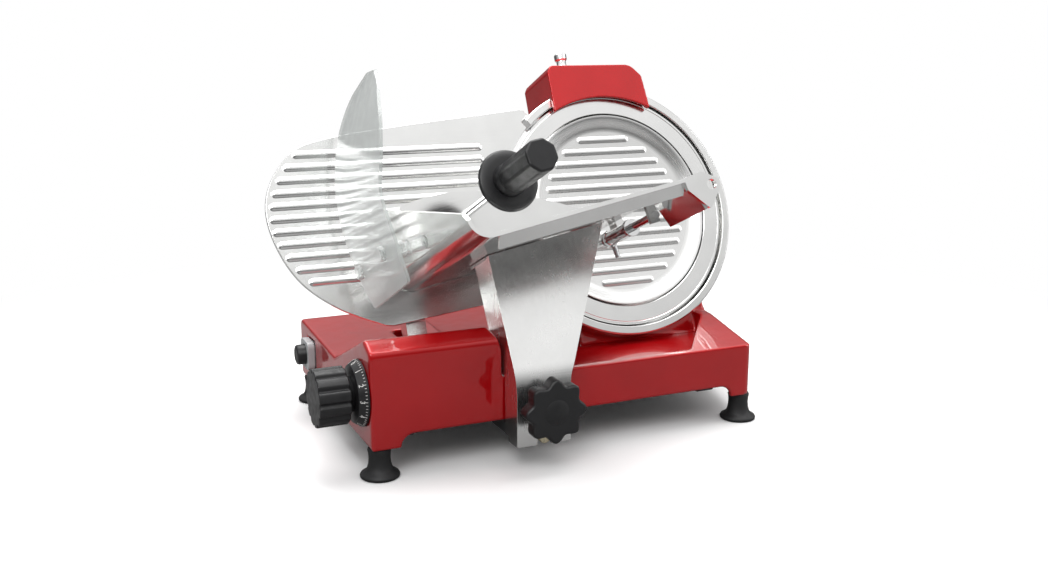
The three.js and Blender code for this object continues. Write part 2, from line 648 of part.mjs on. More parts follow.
function addStones() {
  const grinder = pipe('z', 19, 4.2, -28, -20, [-STONE_U, STONE_V], 24);
  const finer = pipe('z', 14, 4.2, -28, -20, [STONE_U, STONE_V], 20);
  addPiece(bladeFrame, 'grinding_stone', grinder, STONE_GREY);
  addPiece(bladeFrame, 'finishing_stone', finer, PINK_STONE);
  for (const [name, u] of [['grinding_button', -STONE_U], ['finishing_button', STONE_U]]) {
    const button = turned('z', [[0, -66], [7.5, -66], [8.5, -64], [8.5, -54], [5, -53], [5, -31.4],
      [4, -31],
      [4, -19.4], [0, -19.4]], [u, STONE_V], 16);
    addPiece(bladeFrame, name, button, BLACK_PLASTIC);
  }
}

// ---------------------------------------------------------------- carriage
function carriageRod() {
  return cylinder('x', ROD_RADIUS, -166, 152, [ROD_Y, ROD_Z], 28);
}

function addRodBrackets() {
  for (const [name, x0, x1] of [['rod_bracket_left', -168, -154], ['rod_bracket_right', 138, 154]]) {
    const bracket = cut(
      prism('x', rounded([[ROD_Y - 10, 31], [ROD_Y + 10, 31], [ROD_Y + 10, VALLEY_FLOOR - WALL - GAP],
        [ROD_Y - 10, VALLEY_FLOOR - WALL - GAP]], [6, 6, 0, 0]), x0, x1),
      cylinder('x', ROD_RADIUS + 0.2, x0 - 1, x1 + 1, [ROD_Y, ROD_Z], 28),
    );
    addPiece(root, name, bracket, BLACK_PLASTIC);
  }
}

function carriageBlock() {
  const x0 = ARM_X[0] + 4;
  const x1 = ARM_X[1] - 4;
  const body = prism('x', rounded([[ROD_Y - 14, 24], [ROD_Y + 15, 24], [ROD_Y + 15, 52.5],
    [ROD_Y - 14, 52.5]],
    [0, 3, 6, 6]), x0, x1);
  const tongue = box(x0, x1, ARM_FRONT + 6, ROD_Y, 24, 34);
  const lug = box(x0 + 4, x1 - 4, ARM_FRONT + 3.4, BASE_FRONT - 4, 31, 72);
  const bore = cylinder('x', ROD_RADIUS + 0.07, x0 - 1, x1 + 1, [ROD_Y, ROD_Z], 28);
  const stud = prism('y', [...circle(4.3, [CARRIAGE_X, STAR_Z], 10, 180, 180), [CARRIAGE_X + 4.3, 80],
    [CARRIAGE_X - 4.3, 80]], ARM_FRONT, BASE_FRONT);
  const pin = cylinder('y', 3.2, ARM_FRONT, ARM_FRONT + 20, [CARRIAGE_X, PIN_Z], 16);
  return cut(join(body, tongue, lug), bore, stud, pin);
}

function armOutlineFront(inset) {
  // Front view of the leaning part, in (x, distance up the slope).
  return [[ARM_X[0] + inset, -1], [ARM_X[1] - inset, -1], [ARM_TOP_RIGHT - inset, 150],
    [ARM_X[0] + inset, 150]];
}

function carriageArm() {
  const wide = 36;
  const wall = 3;
  const upper = carry(prism('z', armOutlineFront(0), -wide, 0), leanFrame, root);
  const upperHollow = carry(prism('z', armOutlineFront(wall), -wide - 20, -wall), leanFrame, root);
  const lower = box(ARM_X[0], ARM_X[1], ARM_FRONT, ARM_FRONT + 26, 22, ARM_BEND + 2);
  const lowerHollow = box(ARM_X[0] + wall, ARM_X[1] - wall, ARM_FRONT + wall, 0, 10, ARM_BEND + 4);
  const underTray = -SHEET / 2 - GAP;
  const aboveTray = carry(box(-100, 400, underTray, 300, -100, 400), trayFrame, root);
  const pad = common(upper, carry(box(44, 180, underTray - wall, underTray, 78, 108), trayFrame, root));
  const shell = cut(join(lower, upper), lowerHollow, upperHollow, aboveTray);
  const behindWall = box(-300, 300, BASE_FRONT - 2.5, 0, 0, DECK_TOP + 3);
  const notch = prism('y', [[CARRIAGE_X - PIN_NOTCH, 10], [CARRIAGE_X + PIN_NOTCH, 10],
    ...circle(PIN_NOTCH, [CARRIAGE_X, PIN_Z], 8, 0, 180)], ARM_FRONT - 2, ARM_FRONT + 4);
  const studHole = cylinder('y', 4.6, ARM_FRONT - 2, ARM_FRONT + 6, [CARRIAGE_X, STAR_Z], 20);
  return cut(join(shell, pad), behindWall, notch, studHole);
}

function starKnob() {
  const lobes = [];
  for (let i = 0; i < 48; i += 1) {
    const angle = (i / 48) * Math.PI * 2;
    const radius = STAR_RADIUS - STAR_LOBE + STAR_LOBE * Math.cos(angle * 8);
    lobes.push([CARRIAGE_X + radius * Math.cos(angle), STAR_Z + radius * Math.sin(angle)]);
  }
  const star = prism('y', lobes, -181, -166);
  const neck = turned('y', [[0, -167], [13, -167], [9, ARM_FRONT - GAP], [4, ARM_FRONT - GAP], [4, -133],
    [0, -133]], [CARRIAGE_X, STAR_Z], 24);
  return join(star, neck);
}

function locatingPin() {
  return turned('y', [[0, ARM_FRONT - 2.5], [4.4, ARM_FRONT - 2.5], [5.4, ARM_FRONT - 1],
    [5.4, ARM_FRONT + 3],
    [3, ARM_FRONT + 3], [3, ARM_FRONT + 14], [0, ARM_FRONT + 14]], [CARRIAGE_X, PIN_Z], 20);
}

// ---------------------------------------------------------------- tray and what it carries
function tray() {
  const half = SHEET / 2;
  const bend = prism('z', [...circle(8 + half, [8, 8], 6, 180, 90), ...circle(8 - half, [8, 8],
    6, 180, 90).reverse()],
    TRAY_REAR, TRAY_FRONT);
  const fence = prism('x', [[7, TRAY_REAR], [7, TRAY_FRONT], [FENCE_HEIGHT_FRONT, TRAY_FRONT - 7],
    [FENCE_HEIGHT_REAR, TRAY_REAR]], -half, half);
  const floor = box(7, FLOOR_END, -half, half, TRAY_REAR, TRAY_FRONT);
  const flap = prism('z', [[FLOOR_END - 1, half], [FLOOR_END + 3, 0.8], [FLOOR_END + 6, -3],
    [FLOOR_END + 14, -28],
    [FLOOR_END + 10, -29], [FLOOR_END + 2.4, -5], [FLOOR_END - 1, -half]], FLAP[0], FLAP[1] + 0.5);
  const tab = cut(
    prism('z', rounded([[FLOOR_END - 2, 1.8], [FLOOR_END + 17, 4], [FLOOR_END + 36, -9],
      [FLOOR_END + 14, -30],
      [FLOOR_END - 2, -9]], [1, 8, 14, 2, 4]), FLAP[1], TRAY_FRONT),
    cylinder('z', 4.8, 200, 240, [FLOOR_END + 23, -9.5], 24),
  );
  const lug = cut(box(PUSH_ROD[0] - 8, FLOOR_END + 3, PUSH_ROD[1] - 7, -half + 0.5, FLAP[0] + 0.5,
    FLAP[0] + 4.5),
    cylinder('z', PUSH_ROD_RADIUS + 0.15, 100, 200, PUSH_ROD, 20));
  const rearLug = cut(box(PUSH_ROD[0] - 8, FLOOR_END, PUSH_ROD[1] - 7, -half + 0.5, 6, 10),
    cylinder('z', PUSH_ROD_RADIUS + 0.15, 0, 20, PUSH_ROD, 20));
  const screwHoles = GUARD_SCREWS.map(([k, s]) => cylinder('x', 2.4, -10, 10, [k, s], 16));
  const shell = join(floor, bend, fence, flap, tab, lug, rearLug);
  return cut(shell, ...screwHoles);
}

// A sheet that stands beside the fence and curls over the tray towards its top.
function handGuard() {
  const side = rounded([[-11, 40], [-9, 150], [72, 151], [92, 174], [120, 183], [158, 164], [182, 124],
    [199, 66],
    [194, 16], [160, 8], [50, 8], [18, 20], [0, 30]], [6, 6, 20, 24, 26, 30, 40, 30, 22, 20, 20, 10, 6], 2);
  const curve = [];
  const [shortest, longest] = [-14, 216];
  const steps = 20;
  for (let i = 0; i <= steps; i += 1) {
    const length = shortest + (i / steps) * (longest - shortest);
    const turn = Math.max(0, (length - GUARD_BEND_START) / GUARD_BEND_RADIUS);
    const straight = Math.min(length, GUARD_BEND_START);
    curve.push([GUARD_OFFSET + GUARD_BEND_RADIUS * (1 - Math.cos(turn)),
      straight + GUARD_BEND_RADIUS * Math.sin(turn)]);
  }
  const back = curve.map(([a, k]) => [a - GUARD_SHEET, k]).reverse();
  const sheet = prism('z', [...curve, ...back], 0, 200);
  const window = prism('x', side, -80, 60);
  const holes = GUARD_SCREWS.map(([k, s]) => cylinder('x', 2.4, -60, -20, [k, s], 12));
  return cut(common(sheet, window), ...holes);
}

function addGuardScrews() {
  const behind = GUARD_OFFSET - GUARD_SHEET - GAP;
  GUARD_SCREWS.forEach(([k, s], i) => {
    const screw = turned('x', [[0, -45], [6.5, -45], [6.5, behind], [2, behind],
      [2, GUARD_OFFSET + GAP], [6.5, GUARD_OFFSET + GAP], [6.5, -SHEET / 2 - GAP], [2, -SHEET / 2 - GAP],
      [2, SHEET / 2 + 2], [0, SHEET / 2 + 2]], [k, s], 12);
    addPiece(trayFrame, i === 0 ? 'guard_screw_front' : 'guard_screw_rear', screw, CLEAR);
  });
}

function pusherRod() {
  return cylinder('z', PUSH_ROD_RADIUS, 6.5, FLAP[0] + 4, PUSH_ROD, 20);
}

function pusherSleeve() {
  const inner = PUSH_ROD_RADIUS + 0.15;
  return turned('z', [[inner, SLEEVE[0]], [8.6, SLEEVE[0]], [8.6, SLEEVE[0] + 3], [7, SLEEVE[0] + 4],
    [7, SLEEVE[1] - 4], [8.6, SLEEVE[1] - 3], [8.6, SLEEVE[1]], [inner, SLEEVE[1]]], PUSH_ROD, 24);
}

function pusherPlate() {
  const teeth = [];
  for (let a = 14; a < 190; a += 8) teeth.push([a, 5], [a + 4, 8.5]);
  const top = [[216, 8], [196, 12], [176, 26], [150, 40], [110, 58], [66, 70], [30, 72], [4.5, 70]];
  const plate = prism('z', [[4.5, 20], [6, 8.5], [10, 8.5], ...teeth, [196, 6], [216, 2], ...top],
    PLATE_S, PLATE_S + PLATE_SHEET);
  const strap = prism('z', rounded([[209, 10], [209, -14], [212.2, -14], [218, 8]], 0),
    PLATE_S, PLATE_S + PLATE_SHEET);
  const tail = prism('z', rounded([[208.5, -20], [216, -20], [218, 6], [208.5, 6]], 0),
    PLATE_S, PLATE_S + 14);
  const clear = cylinder('z', 8.8, 50, 130, PUSH_ROD, 24);
  const studHole = cylinder('z', 3.3, 50, 80, HANDLE_AT, 16);
  return cut(join(plate, strap, tail), clear, studHole);
}

function addPusherHandle() {
  const front = PLATE_S + PLATE_SHEET + GAP;
  const stud = turned('z', [[0, PLATE_S - 3], [5, PLATE_S - 3], [5, PLATE_S - GAP], [3, PLATE_S - GAP],
    [3, front],
    [4, front], [4, 152 - GAP], [3, 152 - GAP], [3, 212], [0, 212]], HANDLE_AT, 14);
  addPiece(trayFrame, 'handle_stud', stud, STEEL);
  const disc = turned('z', [[3.2, 152], [28, 152], [28, 154], [26.5, 156], [3.2, 156]], HANDLE_AT, 32);
  addPiece(trayFrame, 'handle_disc', disc, BLACK_PLASTIC);
  const grip = cut(
    join(
      prism('z', circle(15.2, HANDLE_AT, 8, 22.5), 170, 229),
      turned('z', [[0, 156 + GAP], [15, 156 + GAP], [15, 160], [12.5, 164], [12.5, 171], [0, 171]],
        HANDLE_AT, 24),
    ),
    cylinder('z', 3.2, 150, 213, HANDLE_AT, 16),
  );
  addPiece(trayFrame, 'pusher_handle', grip, BLACK_PLASTIC);
}

function pusherSetScrew() {
  const [a, k] = PUSH_ROD;
  return turned('y', [[0, k - 20], [2.6, k - 20], [2.6, k - 7 - GAP * 6], [0, k - 7 - GAP * 6]], [a, 68],
    16);
}

// ---------------------------------------------------------------- assembly
addPiece(root, 'base_casting', baseCasting(), RED_PAINT);
addFeet();
addPiece(root, 'bottom_plate', bottomPlate(), STEEL);
addPiece(bladeFrame, 'ring_guard', ringGuard(), SATIN);
addPiece(bladeFrame, 'blade', blade(), POLISHED);
addPiece(bladeFrame, 'blade_pulley', bladePulley(), SATIN);
addBearings();
addPiece(bladeFrame, 'blade_axle', bladeAxle(), STEEL);
addPiece(bladeFrame, 'blade_cover', bladeCover(), SATIN);
addPiece(bladeFrame, 'tie_rod_knob', tieRodKnob(), BLACK_PLASTIC);
addPiece(bladeFrame, 'slice_deflector', sliceDeflector(), POLISHED);
addPiece(bladeFrame, 'motor_body', motorBody(), MOTOR_PAINT);
addPiece(bladeFrame, 'motor_pulley', motorPulley(), STEEL);
addPiece(bladeFrame, 'drive_belt', driveBelt(), RUBBER);
addPiece(bladeFrame, 'gauge_plate', gaugePlate(), SATIN);
addPiece(bladeFrame, 'gauge_carrier', gaugeCarrier(), SATIN);
addPiece(bladeFrame, 'gauge_slide_rod', gaugeSlideRod(), STEEL);
addPiece(bladeFrame, 'gauge_spring', gaugeSpring(), STEEL);
addPiece(root, 'thickness_knob', thicknessKnob(), BLACK_PLASTIC);
addPiece(root, 'dial_ring', dialRing(), BLACK_PLASTIC);
addPiece(root, 'gauge_cam', gaugeCam(), STEEL);
addPiece(root, 'switch_housing', switchHousing(), GREY_PLASTIC);
addPiece(root, 'power_button', powerButton(), BLACK_PLASTIC);
addPiece(root, 'control_board', box(-160, -110, 60, 106, 32.8, 34.4), BOARD_GREEN);
addPiece(root, 'start_capacitor', cylinder('x', 14, -90, -40, [92, 46.8], 20), GREY_PLASTIC);
addPiece(root, 'cord_bush', cordBush(), RUBBER);
addPiece(root, 'power_cord', powerCord(), RUBBER);
addPiece(bladeFrame, 'sharpener_base', sharpenerBase(), SATIN);
addPiece(bladeFrame, 'sharpener_cover', sharpenerCover(), RED_PAINT);
addPiece(bladeFrame, 'sharpener_pin', sharpenerPin(), CHROME);
addStones();
addPiece(root, 'carriage_rod', carriageRod(), CHROME);
addRodBrackets();
addPiece(root, 'carriage_block', carriageBlock(), SATIN);
addPiece(root, 'carriage_arm', carriageArm(), POLISHED);
addPiece(root, 'star_knob', starKnob(), BLACK_PLASTIC);
addPiece(root, 'locating_pin', locatingPin(), BRASS);
addPiece(trayFrame, 'tray', tray(), POLISHED);
addPiece(trayFrame, 'hand_guard', handGuard(), CLEAR);
addGuardScrews();
addPiece(trayFrame, 'pusher_rod', pusherRod(), STEEL);
addPiece(trayFrame, 'pusher_sleeve', pusherSleeve(), POLISHED);
addPiece(trayFrame, 'pusher_plate', pusherPlate(), POLISHED);
addPusherHandle();
addPiece(trayFrame, 'pusher_set_screw', pusherSetScrew(), STEEL);

machine.updateMatrixWorld(true);
const bounds = new THREE.Box3().setFromObject(machine, true);
const centre = bounds.getCenter(new THREE.Vector3());
root.position.set(-centre.x, -centre.y, -bounds.min.z);
machine.updateMatrixWorld(true);

export default machine;
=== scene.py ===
"""Looks of the deli meat slicer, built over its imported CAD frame."""

import json
import math

import bmesh
import bpy
from mathutils import Matrix, Vector


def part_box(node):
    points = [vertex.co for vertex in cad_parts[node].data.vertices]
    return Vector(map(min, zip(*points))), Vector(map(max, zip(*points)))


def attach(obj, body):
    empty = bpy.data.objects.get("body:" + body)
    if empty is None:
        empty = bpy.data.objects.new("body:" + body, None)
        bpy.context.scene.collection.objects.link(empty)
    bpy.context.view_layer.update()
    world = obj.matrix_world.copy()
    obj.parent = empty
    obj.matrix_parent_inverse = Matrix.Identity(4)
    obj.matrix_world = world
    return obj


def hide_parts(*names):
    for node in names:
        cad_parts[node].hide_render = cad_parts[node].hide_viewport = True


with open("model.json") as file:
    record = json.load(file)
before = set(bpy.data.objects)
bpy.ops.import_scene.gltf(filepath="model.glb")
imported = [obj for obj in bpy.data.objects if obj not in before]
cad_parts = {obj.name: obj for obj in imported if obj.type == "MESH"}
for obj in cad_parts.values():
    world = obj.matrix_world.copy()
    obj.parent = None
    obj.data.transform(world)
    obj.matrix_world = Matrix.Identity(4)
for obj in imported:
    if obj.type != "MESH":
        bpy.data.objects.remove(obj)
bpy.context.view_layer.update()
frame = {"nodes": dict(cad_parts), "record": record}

# ------------------------------------------------------------------ driving sizes, millimetres
MM = 0.001
TILT = math.radians(23.2)
TRAY_SLOPE = math.radians(10.7)
BLADE_CENTRE = (128.5, 40, 191.7)
TRAY_CORNER = (-253.3, -69)
FEET = {
    "front_left": (-186, -114),
    "front_right": (183, -114),
    "rear_left": (-186, 114),
    "rear_right": (205, 114),
}
KNOB_AT = (-98, 72)
BUTTON_AT = (80, 60)
SHARPENER_PIN_AT = (-34, -5)
TRAY_BEND = 17
ARM_FRONT = -155
ARM_BEND = 80
ARM_LEAN = math.radians(32)
ARM_UPPER = 150
STAR_AT = (-48.5, 59)
LOCATING_PIN_AT = (-48.5, 28.5)
PUSH_ROD = (203, -14.5)
HANDLE_AT = (76, 51)
PLATE_S = 62
PLATE_THICK = 3
GUARD_SCREWS = {"guard_screw_front": 116, "guard_screw_rear": 39}
GUARD_SCREW_HEIGHT = 25
LENS = 38.57
SENSOR = 36
CAMERA_AT = (-445.3, -995.1, 374.7)
CAMERA_DOWN = 12.81
CAMERA_TURN = 24.18

foot_low, foot_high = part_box("foot_front_left")
SHIFT = (
    (foot_low[0] + foot_high[0]) / 2 - FEET["front_left"][0] * MM,
    (foot_low[1] + foot_high[1]) / 2 - FEET["front_left"][1] * MM,
    0,
)
# ROOT: x right, y back, z up. BLADE: from the blade's centre, y up its face and z out of its front.
# TRAY: in the blade's plane, x along the tray's floor, y up off the floor, z towards the front.
ROOT = Matrix.Translation(SHIFT)
BLADE = ROOT @ Matrix.Translation(Vector(BLADE_CENTRE) * MM) @ Matrix.Rotation(math.pi / 2 - TILT, 4, "X")
TRAY = (BLADE @ Matrix.Translation(Vector((*TRAY_CORNER, 0)) * MM)
        @ Matrix.Rotation(TRAY_SLOPE, 4, "Z"))


# ------------------------------------------------------------------ geometry helpers
def place(axis, p, q, h):
    """A point h along the axis, and p and q along the other two."""
    return {"x": (h, p, q), "y": (p, h, q), "z": (p, q, h)}[axis]


def new_object(name, verts, faces, space):
    mesh = bpy.data.meshes.new(name)
    mesh.from_pydata([Vector(v) * MM for v in verts], [], faces)
    shape = bmesh.new()
    shape.from_mesh(mesh)
    bmesh.ops.remove_doubles(shape, verts=shape.verts, dist=1e-7)
    bmesh.ops.recalc_face_normals(shape, faces=shape.faces)
    shape.to_mesh(mesh)
    shape.free()
    obj = bpy.data.objects.new(name, mesh)
    bpy.context.scene.collection.objects.link(obj)
    obj.matrix_world = space
    return obj


def prism(name, axis, outline, low, high, space):
    """An outline drawn out along an axis from low to high."""
    n = len(outline)
    verts = [place(axis, p, q, low) for p, q in outline]
    verts += [place(axis, p, q, high) for p, q in outline]
    faces = [list(range(n)), list(range(n, 2 * n))]
    faces += [[i, (i + 1) % n, n + (i + 1) % n, n + i] for i in range(n)]
    return new_object(name, verts, faces, space)


def slab(name, x, y, z, space):
    """A box between two values on each axis."""
    outline = [(x[0], y[0]), (x[1], y[0]), (x[1], y[1]), (x[0], y[1])]
    return prism(name, "z", outline, z[0], z[1], space)


def turned(name, axis, profile, space, at=(0, 0), steps=96, start=0.0, sweep=360.0):
    """A profile of (radius, height) points turned about an axis."""
    whole = sweep >= 360
    count = steps if whole else steps + 1
    n = len(profile)
    verts = []
    for i in range(count):
        angle = math.radians(start + sweep * i / steps)
        for r, h in profile:
            verts.append(place(axis, at[0] + r * math.cos(angle), at[1] + r * math.sin(angle), h))
    faces = []
    on_axis = profile[0][0] == 0 and profile[-1][0] == 0
    for i in range(steps):
        here, there = i * n, ((i + 1) % count) * n
        for j in range(n - 1 if on_axis else n):
            k = (j + 1) % n
            faces.append([here + j, here + k, there + k, there + j])
    if not whole:
        faces.append(list(range(n)))
        faces.append([(count - 1) * n + j for j in range(n)])
    return new_object(name, verts, faces, space)


def rounded(points, radius, steps=5):
    """The outline with its corners eased by one radius, or by one for each corner."""
    result = []
    for i, corner in enumerate(points):
        size = radius[i] if isinstance(radius, (list, tuple)) else radius
        here = Vector(corner)
        if size <= 0:
            result.append(tuple(corner))
            continue
        before = Vector(points[i - 1]) - here
        after = Vector(points[(i + 1) % len(points)]) - here
        half = before.angle(after) / 2
        back = min(size / math.tan(half), before.length * 0.49, after.length * 0.49)
        start = here + before.normalized() * back
        end = here + after.normalized() * back
        for k in range(steps + 1):
            t = k / steps
            p = start * (1 - t) ** 2 + here * (2 * t * (1 - t)) + end * t ** 2
            result.append((p.x, p.y))
    return result


def arc(radius, at=(0, 0), start=0.0, sweep=360.0, steps=48):
    last = steps if sweep < 360 and sweep > -360 else steps - 1
    points = []
    for i in range(last + 1):
        angle = math.radians(start + sweep * i / steps)
        points.append((at[0] + radius * math.cos(angle), at[1] + radius * math.sin(angle)))
    return points


def spline(points, steps=8):
    """A smooth open curve through the points."""
    result = []
    for i in range(len(points) - 1):
        p0 = Vector(points[max(i - 1, 0)])
        p1 = Vector(points[i])
        p2 = Vector(points[i + 1])
        p3 = Vector(points[min(i + 2, len(points) - 1)])
        for k in range(steps):
            t = k / steps
            q = 0.5 * (2 * p1 + (p2 - p0) * t + (2 * p0 - 5 * p1 + 4 * p2 - p3) * t ** 2
                       + (3 * p1 - p0 - 3 * p2 + p3) * t ** 3)
            result.append(tuple(q))
    result.append(tuple(points[-1]))
    return result


def bake(obj):
    """Applies the object's modifiers to its mesh."""
    bpy.context.view_layer.update()
    graph = bpy.context.evaluated_depsgraph_get()
    mesh = bpy.data.meshes.new_from_object(obj.evaluated_get(graph))
    obj.modifiers.clear()
    obj.data = mesh
    return obj


def combine(obj, others, operation):
    for other in others:
        step = obj.modifiers.new(operation, "BOOLEAN")
        step.operation = operation
        step.solver = "EXACT"
        step.object = other
    bake(obj)
    for other in others:
        bpy.data.objects.remove(other)
    return obj


def carve(obj, *cutters):
    return combine(obj, cutters, "DIFFERENCE")


def weld(obj, *others):
    return combine(obj, others, "UNION")


def gather(obj, *others):
    """One object of several closed shells, for small repeats that sit on a piece."""
    shape = bmesh.new()
    for part in (obj, *others):
        copy = part.data.copy()
        copy.transform(obj.matrix_world.inverted() @ part.matrix_world)
        shape.from_mesh(copy)
        bpy.data.meshes.remove(copy)
    shape.to_mesh(obj.data)
    shape.free()
    for other in others:
        bpy.data.objects.remove(other)
    return obj


def cast(obj, voxel, passes):
    """Rounds every edge and inner corner the way a casting's are."""
    skin = obj.modifiers.new("skin", "REMESH")
    skin.mode = "VOXEL"
    skin.voxel_size = voxel * MM
    skin.use_smooth_shade = True
    ease = obj.modifiers.new("ease", "SMOOTH")
    ease.factor = 0.5
    ease.iterations = passes
    return bake(obj)


def soften(obj, width, segments=3, angle=30):
    """Rounds the edges that turn by more than the angle."""
    for face in obj.data.polygons:
        face.use_smooth = True
    edge = obj.modifiers.new("edge", "BEVEL")
    edge.width = width * MM
    edge.segments = segments
    edge.limit_method = "ANGLE"
    edge.angle_limit = math.radians(angle)
    edge.harden_normals = True
    edge.use_clamp_overlap = True
    return obj


def smooth(obj, angle=35):
    for face in obj.data.polygons:
        face.use_smooth = True
    obj.data.set_sharp_from_angle(angle=math.radians(angle))
    return obj


# ------------------------------------------------------------------ materials
class Nodes:
    """A short way to wire a node tree."""

    def __init__(self, name):
        self.material = bpy.data.materials.new(name)
        self.material.use_nodes = True
        self.tree = self.material.node_tree
        self.surface = self.tree.nodes["Principled BSDF"]
        self.output = self.tree.nodes["Material Output"]

    def add(self, kind, **values):
        node = self.tree.nodes.new(kind)
        for key, value in values.items():
            if key in node.inputs:
                node.inputs[key].default_value = value
            else:
                setattr(node, key, value)
        return node

    def link(self, source, target):
        self.tree.links.new(source, target)

    def set(self, **values):
        for key, value in values.items():
            self.surface.inputs[key.replace("_", " ")].default_value = value

    def millimetres(self, stretch=(1, 1, 1)):
        coordinate = self.add("ShaderNodeTexCoord")
        mapping = self.add("ShaderNodeMapping")
        mapping.inputs["Scale"].default_value = [1000 * s for s in stretch]
        self.link(coordinate.outputs["Object"], mapping.inputs["Vector"])
        return mapping.outputs["Vector"]

    def noise(self, vector, scale, detail=3.0):
        node = self.add("ShaderNodeTexNoise", Scale=scale, Detail=detail)
        self.link(vector, node.inputs["Vector"])
        return node.outputs["Fac"]

    def spread(self, value, low, high):
        node = self.add("ShaderNodeMapRange")
        node.inputs["From Min"].default_value = 0.3
        node.inputs["From Max"].default_value = 0.7
        node.inputs["To Min"].default_value = low
        node.inputs["To Max"].default_value = high
        self.link(value, node.inputs["Value"])
        return node.outputs["Result"]

    def tone(self, value, dark, light):
        ramp = self.add("ShaderNodeValToRGB")
        ramp.color_ramp.elements[0].position = 0.3
        ramp.color_ramp.elements[0].color = (*dark, 1)
        ramp.color_ramp.elements[1].position = 0.7
        ramp.color_ramp.elements[1].color = (*light, 1)
        self.link(value, ramp.inputs["Fac"])
        self.link(ramp.outputs["Color"], self.surface.inputs["Base Color"])

    def rough(self, value, low, high):
        self.link(self.spread(value, low, high), self.surface.inputs["Roughness"])

    def bump(self, value, strength, distance):
        node = self.add("ShaderNodeBump", Strength=strength, Distance=distance * MM)
        self.link(value, node.inputs["Height"])
        self.link(node.outputs["Normal"], self.surface.inputs["Normal"])


def red_enamel():
    n = Nodes("red_enamel")
    where = n.millimetres()
    n.set(Metallic=0.3, Specular_IOR_Level=0.15, Coat_Weight=1.0, Coat_Roughness=0.04, Coat_IOR=1.5)
    n.tone(n.noise(where, 0.02), (0.42, 0.001, 0.003), (0.48, 0.0015, 0.004))
    n.rough(n.noise(where, 0.06), 0.3, 0.4)
    n.bump(n.noise(where, 0.03, 1.0), 0.02, 0.1)
    return n.material


def brushed(name, tone, low, high, grain, strength=0.12):
    """Metal with a grain; the small number in grain is the direction the grain runs."""
    n = Nodes(name)
    lines = n.noise(n.millimetres(grain), 1.0, 4.0)
    patches = n.noise(n.millimetres(), 0.03, 2.0)
    n.set(Metallic=1.0)
    n.tone(patches, [c * 0.93 for c in tone], tone)
    mix = n.add("ShaderNodeMath", operation="ADD")
    half = n.add("ShaderNodeMath", operation="MULTIPLY")
    half.inputs[1].default_value = 0.5
    n.link(lines, mix.inputs[0])
    n.link(patches, mix.inputs[1])
    n.link(mix.outputs[0], half.inputs[0])
    n.rough(half.outputs[0], low, high)
    n.bump(lines, strength, 0.05)
    return n.material


def turned_metal(name, tone, low, high, pitch=2.2, strength=0.1):
    """Metal with fine rings about the z axis of the piece's own space."""
    n = Nodes(name)
    split = n.add("ShaderNodeSeparateXYZ")
    n.link(n.millimetres(), split.inputs[0])
    square_x = n.add("ShaderNodeMath", operation="MULTIPLY")
    square_y = n.add("ShaderNodeMath", operation="MULTIPLY")
    for node, axis in ((square_x, 0), (square_y, 1)):
        n.link(split.outputs[axis], node.inputs[0])
        n.link(split.outputs[axis], node.inputs[1])
    total = n.add("ShaderNodeMath", operation="ADD")
    n.link(square_x.outputs[0], total.inputs[0])
    n.link(square_y.outputs[0], total.inputs[1])
    radius = n.add("ShaderNodeMath", operation="SQRT")
    n.link(total.outputs[0], radius.inputs[0])
    rings = n.add("ShaderNodeTexNoise", noise_dimensions="1D", Scale=pitch, Detail=3.0)
    n.link(radius.outputs[0], rings.inputs["W"])
    n.set(Metallic=1.0)
    n.tone(n.noise(n.millimetres(), 0.03), [c * 0.94 for c in tone], tone)
    n.rough(rings.outputs["Fac"], low, high)
    n.bump(rings.outputs["Fac"], strength, 0.04)
    return n.material


def plastic(name, tone, low, high, grain=0.8, strength=0.25):
    n = Nodes(name)
    where = n.millimetres()
    n.tone(n.noise(where, 0.08), [c * 0.8 for c in tone], tone)
    n.rough(n.noise(where, 0.15), low, high)
    n.bump(n.noise(where, grain), strength, 0.12)
    return n.material


def clear_plastic():
    """Clear sheet, lightly frosted by wear: mostly see-through with a pale milky surface."""
    n = Nodes("clear_plastic")
    where = n.millimetres()
    n.tone(n.noise(where, 0.05), (0.74, 0.76, 0.75), (0.80, 0.82, 0.81))
    n.rough(n.noise(where, 0.1), 0.08, 0.2)
    through = n.add("ShaderNodeBsdfTransparent")
    through.inputs["Color"].default_value = (0.93, 0.945, 0.94, 1)
    facing = n.add("ShaderNodeLayerWeight", Blend=0.35)
    milk = n.add("ShaderNodeMapRange")
    milk.inputs["To Min"].default_value = 0.2
    milk.inputs["To Max"].default_value = 0.85
    n.link(facing.outputs["Facing"], milk.inputs["Value"])
    mix = n.add("ShaderNodeMixShader")
    n.link(milk.outputs["Result"], mix.inputs["Fac"])
    n.link(through.outputs[0], mix.inputs[1])
    n.link(n.surface.outputs[0], mix.inputs[2])
    n.link(mix.outputs[0], n.output.inputs["Surface"])
    return n.material


RED = red_enamel()
MIRROR = brushed("polished_sheet", (0.84, 0.84, 0.83), 0.10, 0.22, (0.02, 0.5, 0.5), 0.05)
ARM_METAL = brushed("arm_sheet", (0.86, 0.86, 0.85), 0.2, 0.3, (0.3, 0.3, 0.02), 0.01)
SATIN = brushed("satin_aluminium", (0.86, 0.86, 0.85), 0.16, 0.26, (0.02, 0.6, 0.6), 0.05)
DISC = turned_metal("turned_disc", (0.84, 0.84, 0.83), 0.24, 0.34, 2.2, 0.05)
BLADE_STEEL = turned_metal("blade_steel", (0.88, 0.88, 0.87), 0.12, 0.24, 1.2)
STEEL = turned_metal("ground_steel", (0.62, 0.63, 0.64), 0.2, 0.36)
CHROME = turned_metal("chrome_plate", (0.86, 0.86, 0.86), 0.04, 0.1)
BRASS = turned_metal("pin_brass", (0.78, 0.70, 0.50), 0.25, 0.4)
BLACK = plastic("black_plastic", (0.009, 0.009, 0.010), 0.34, 0.5)
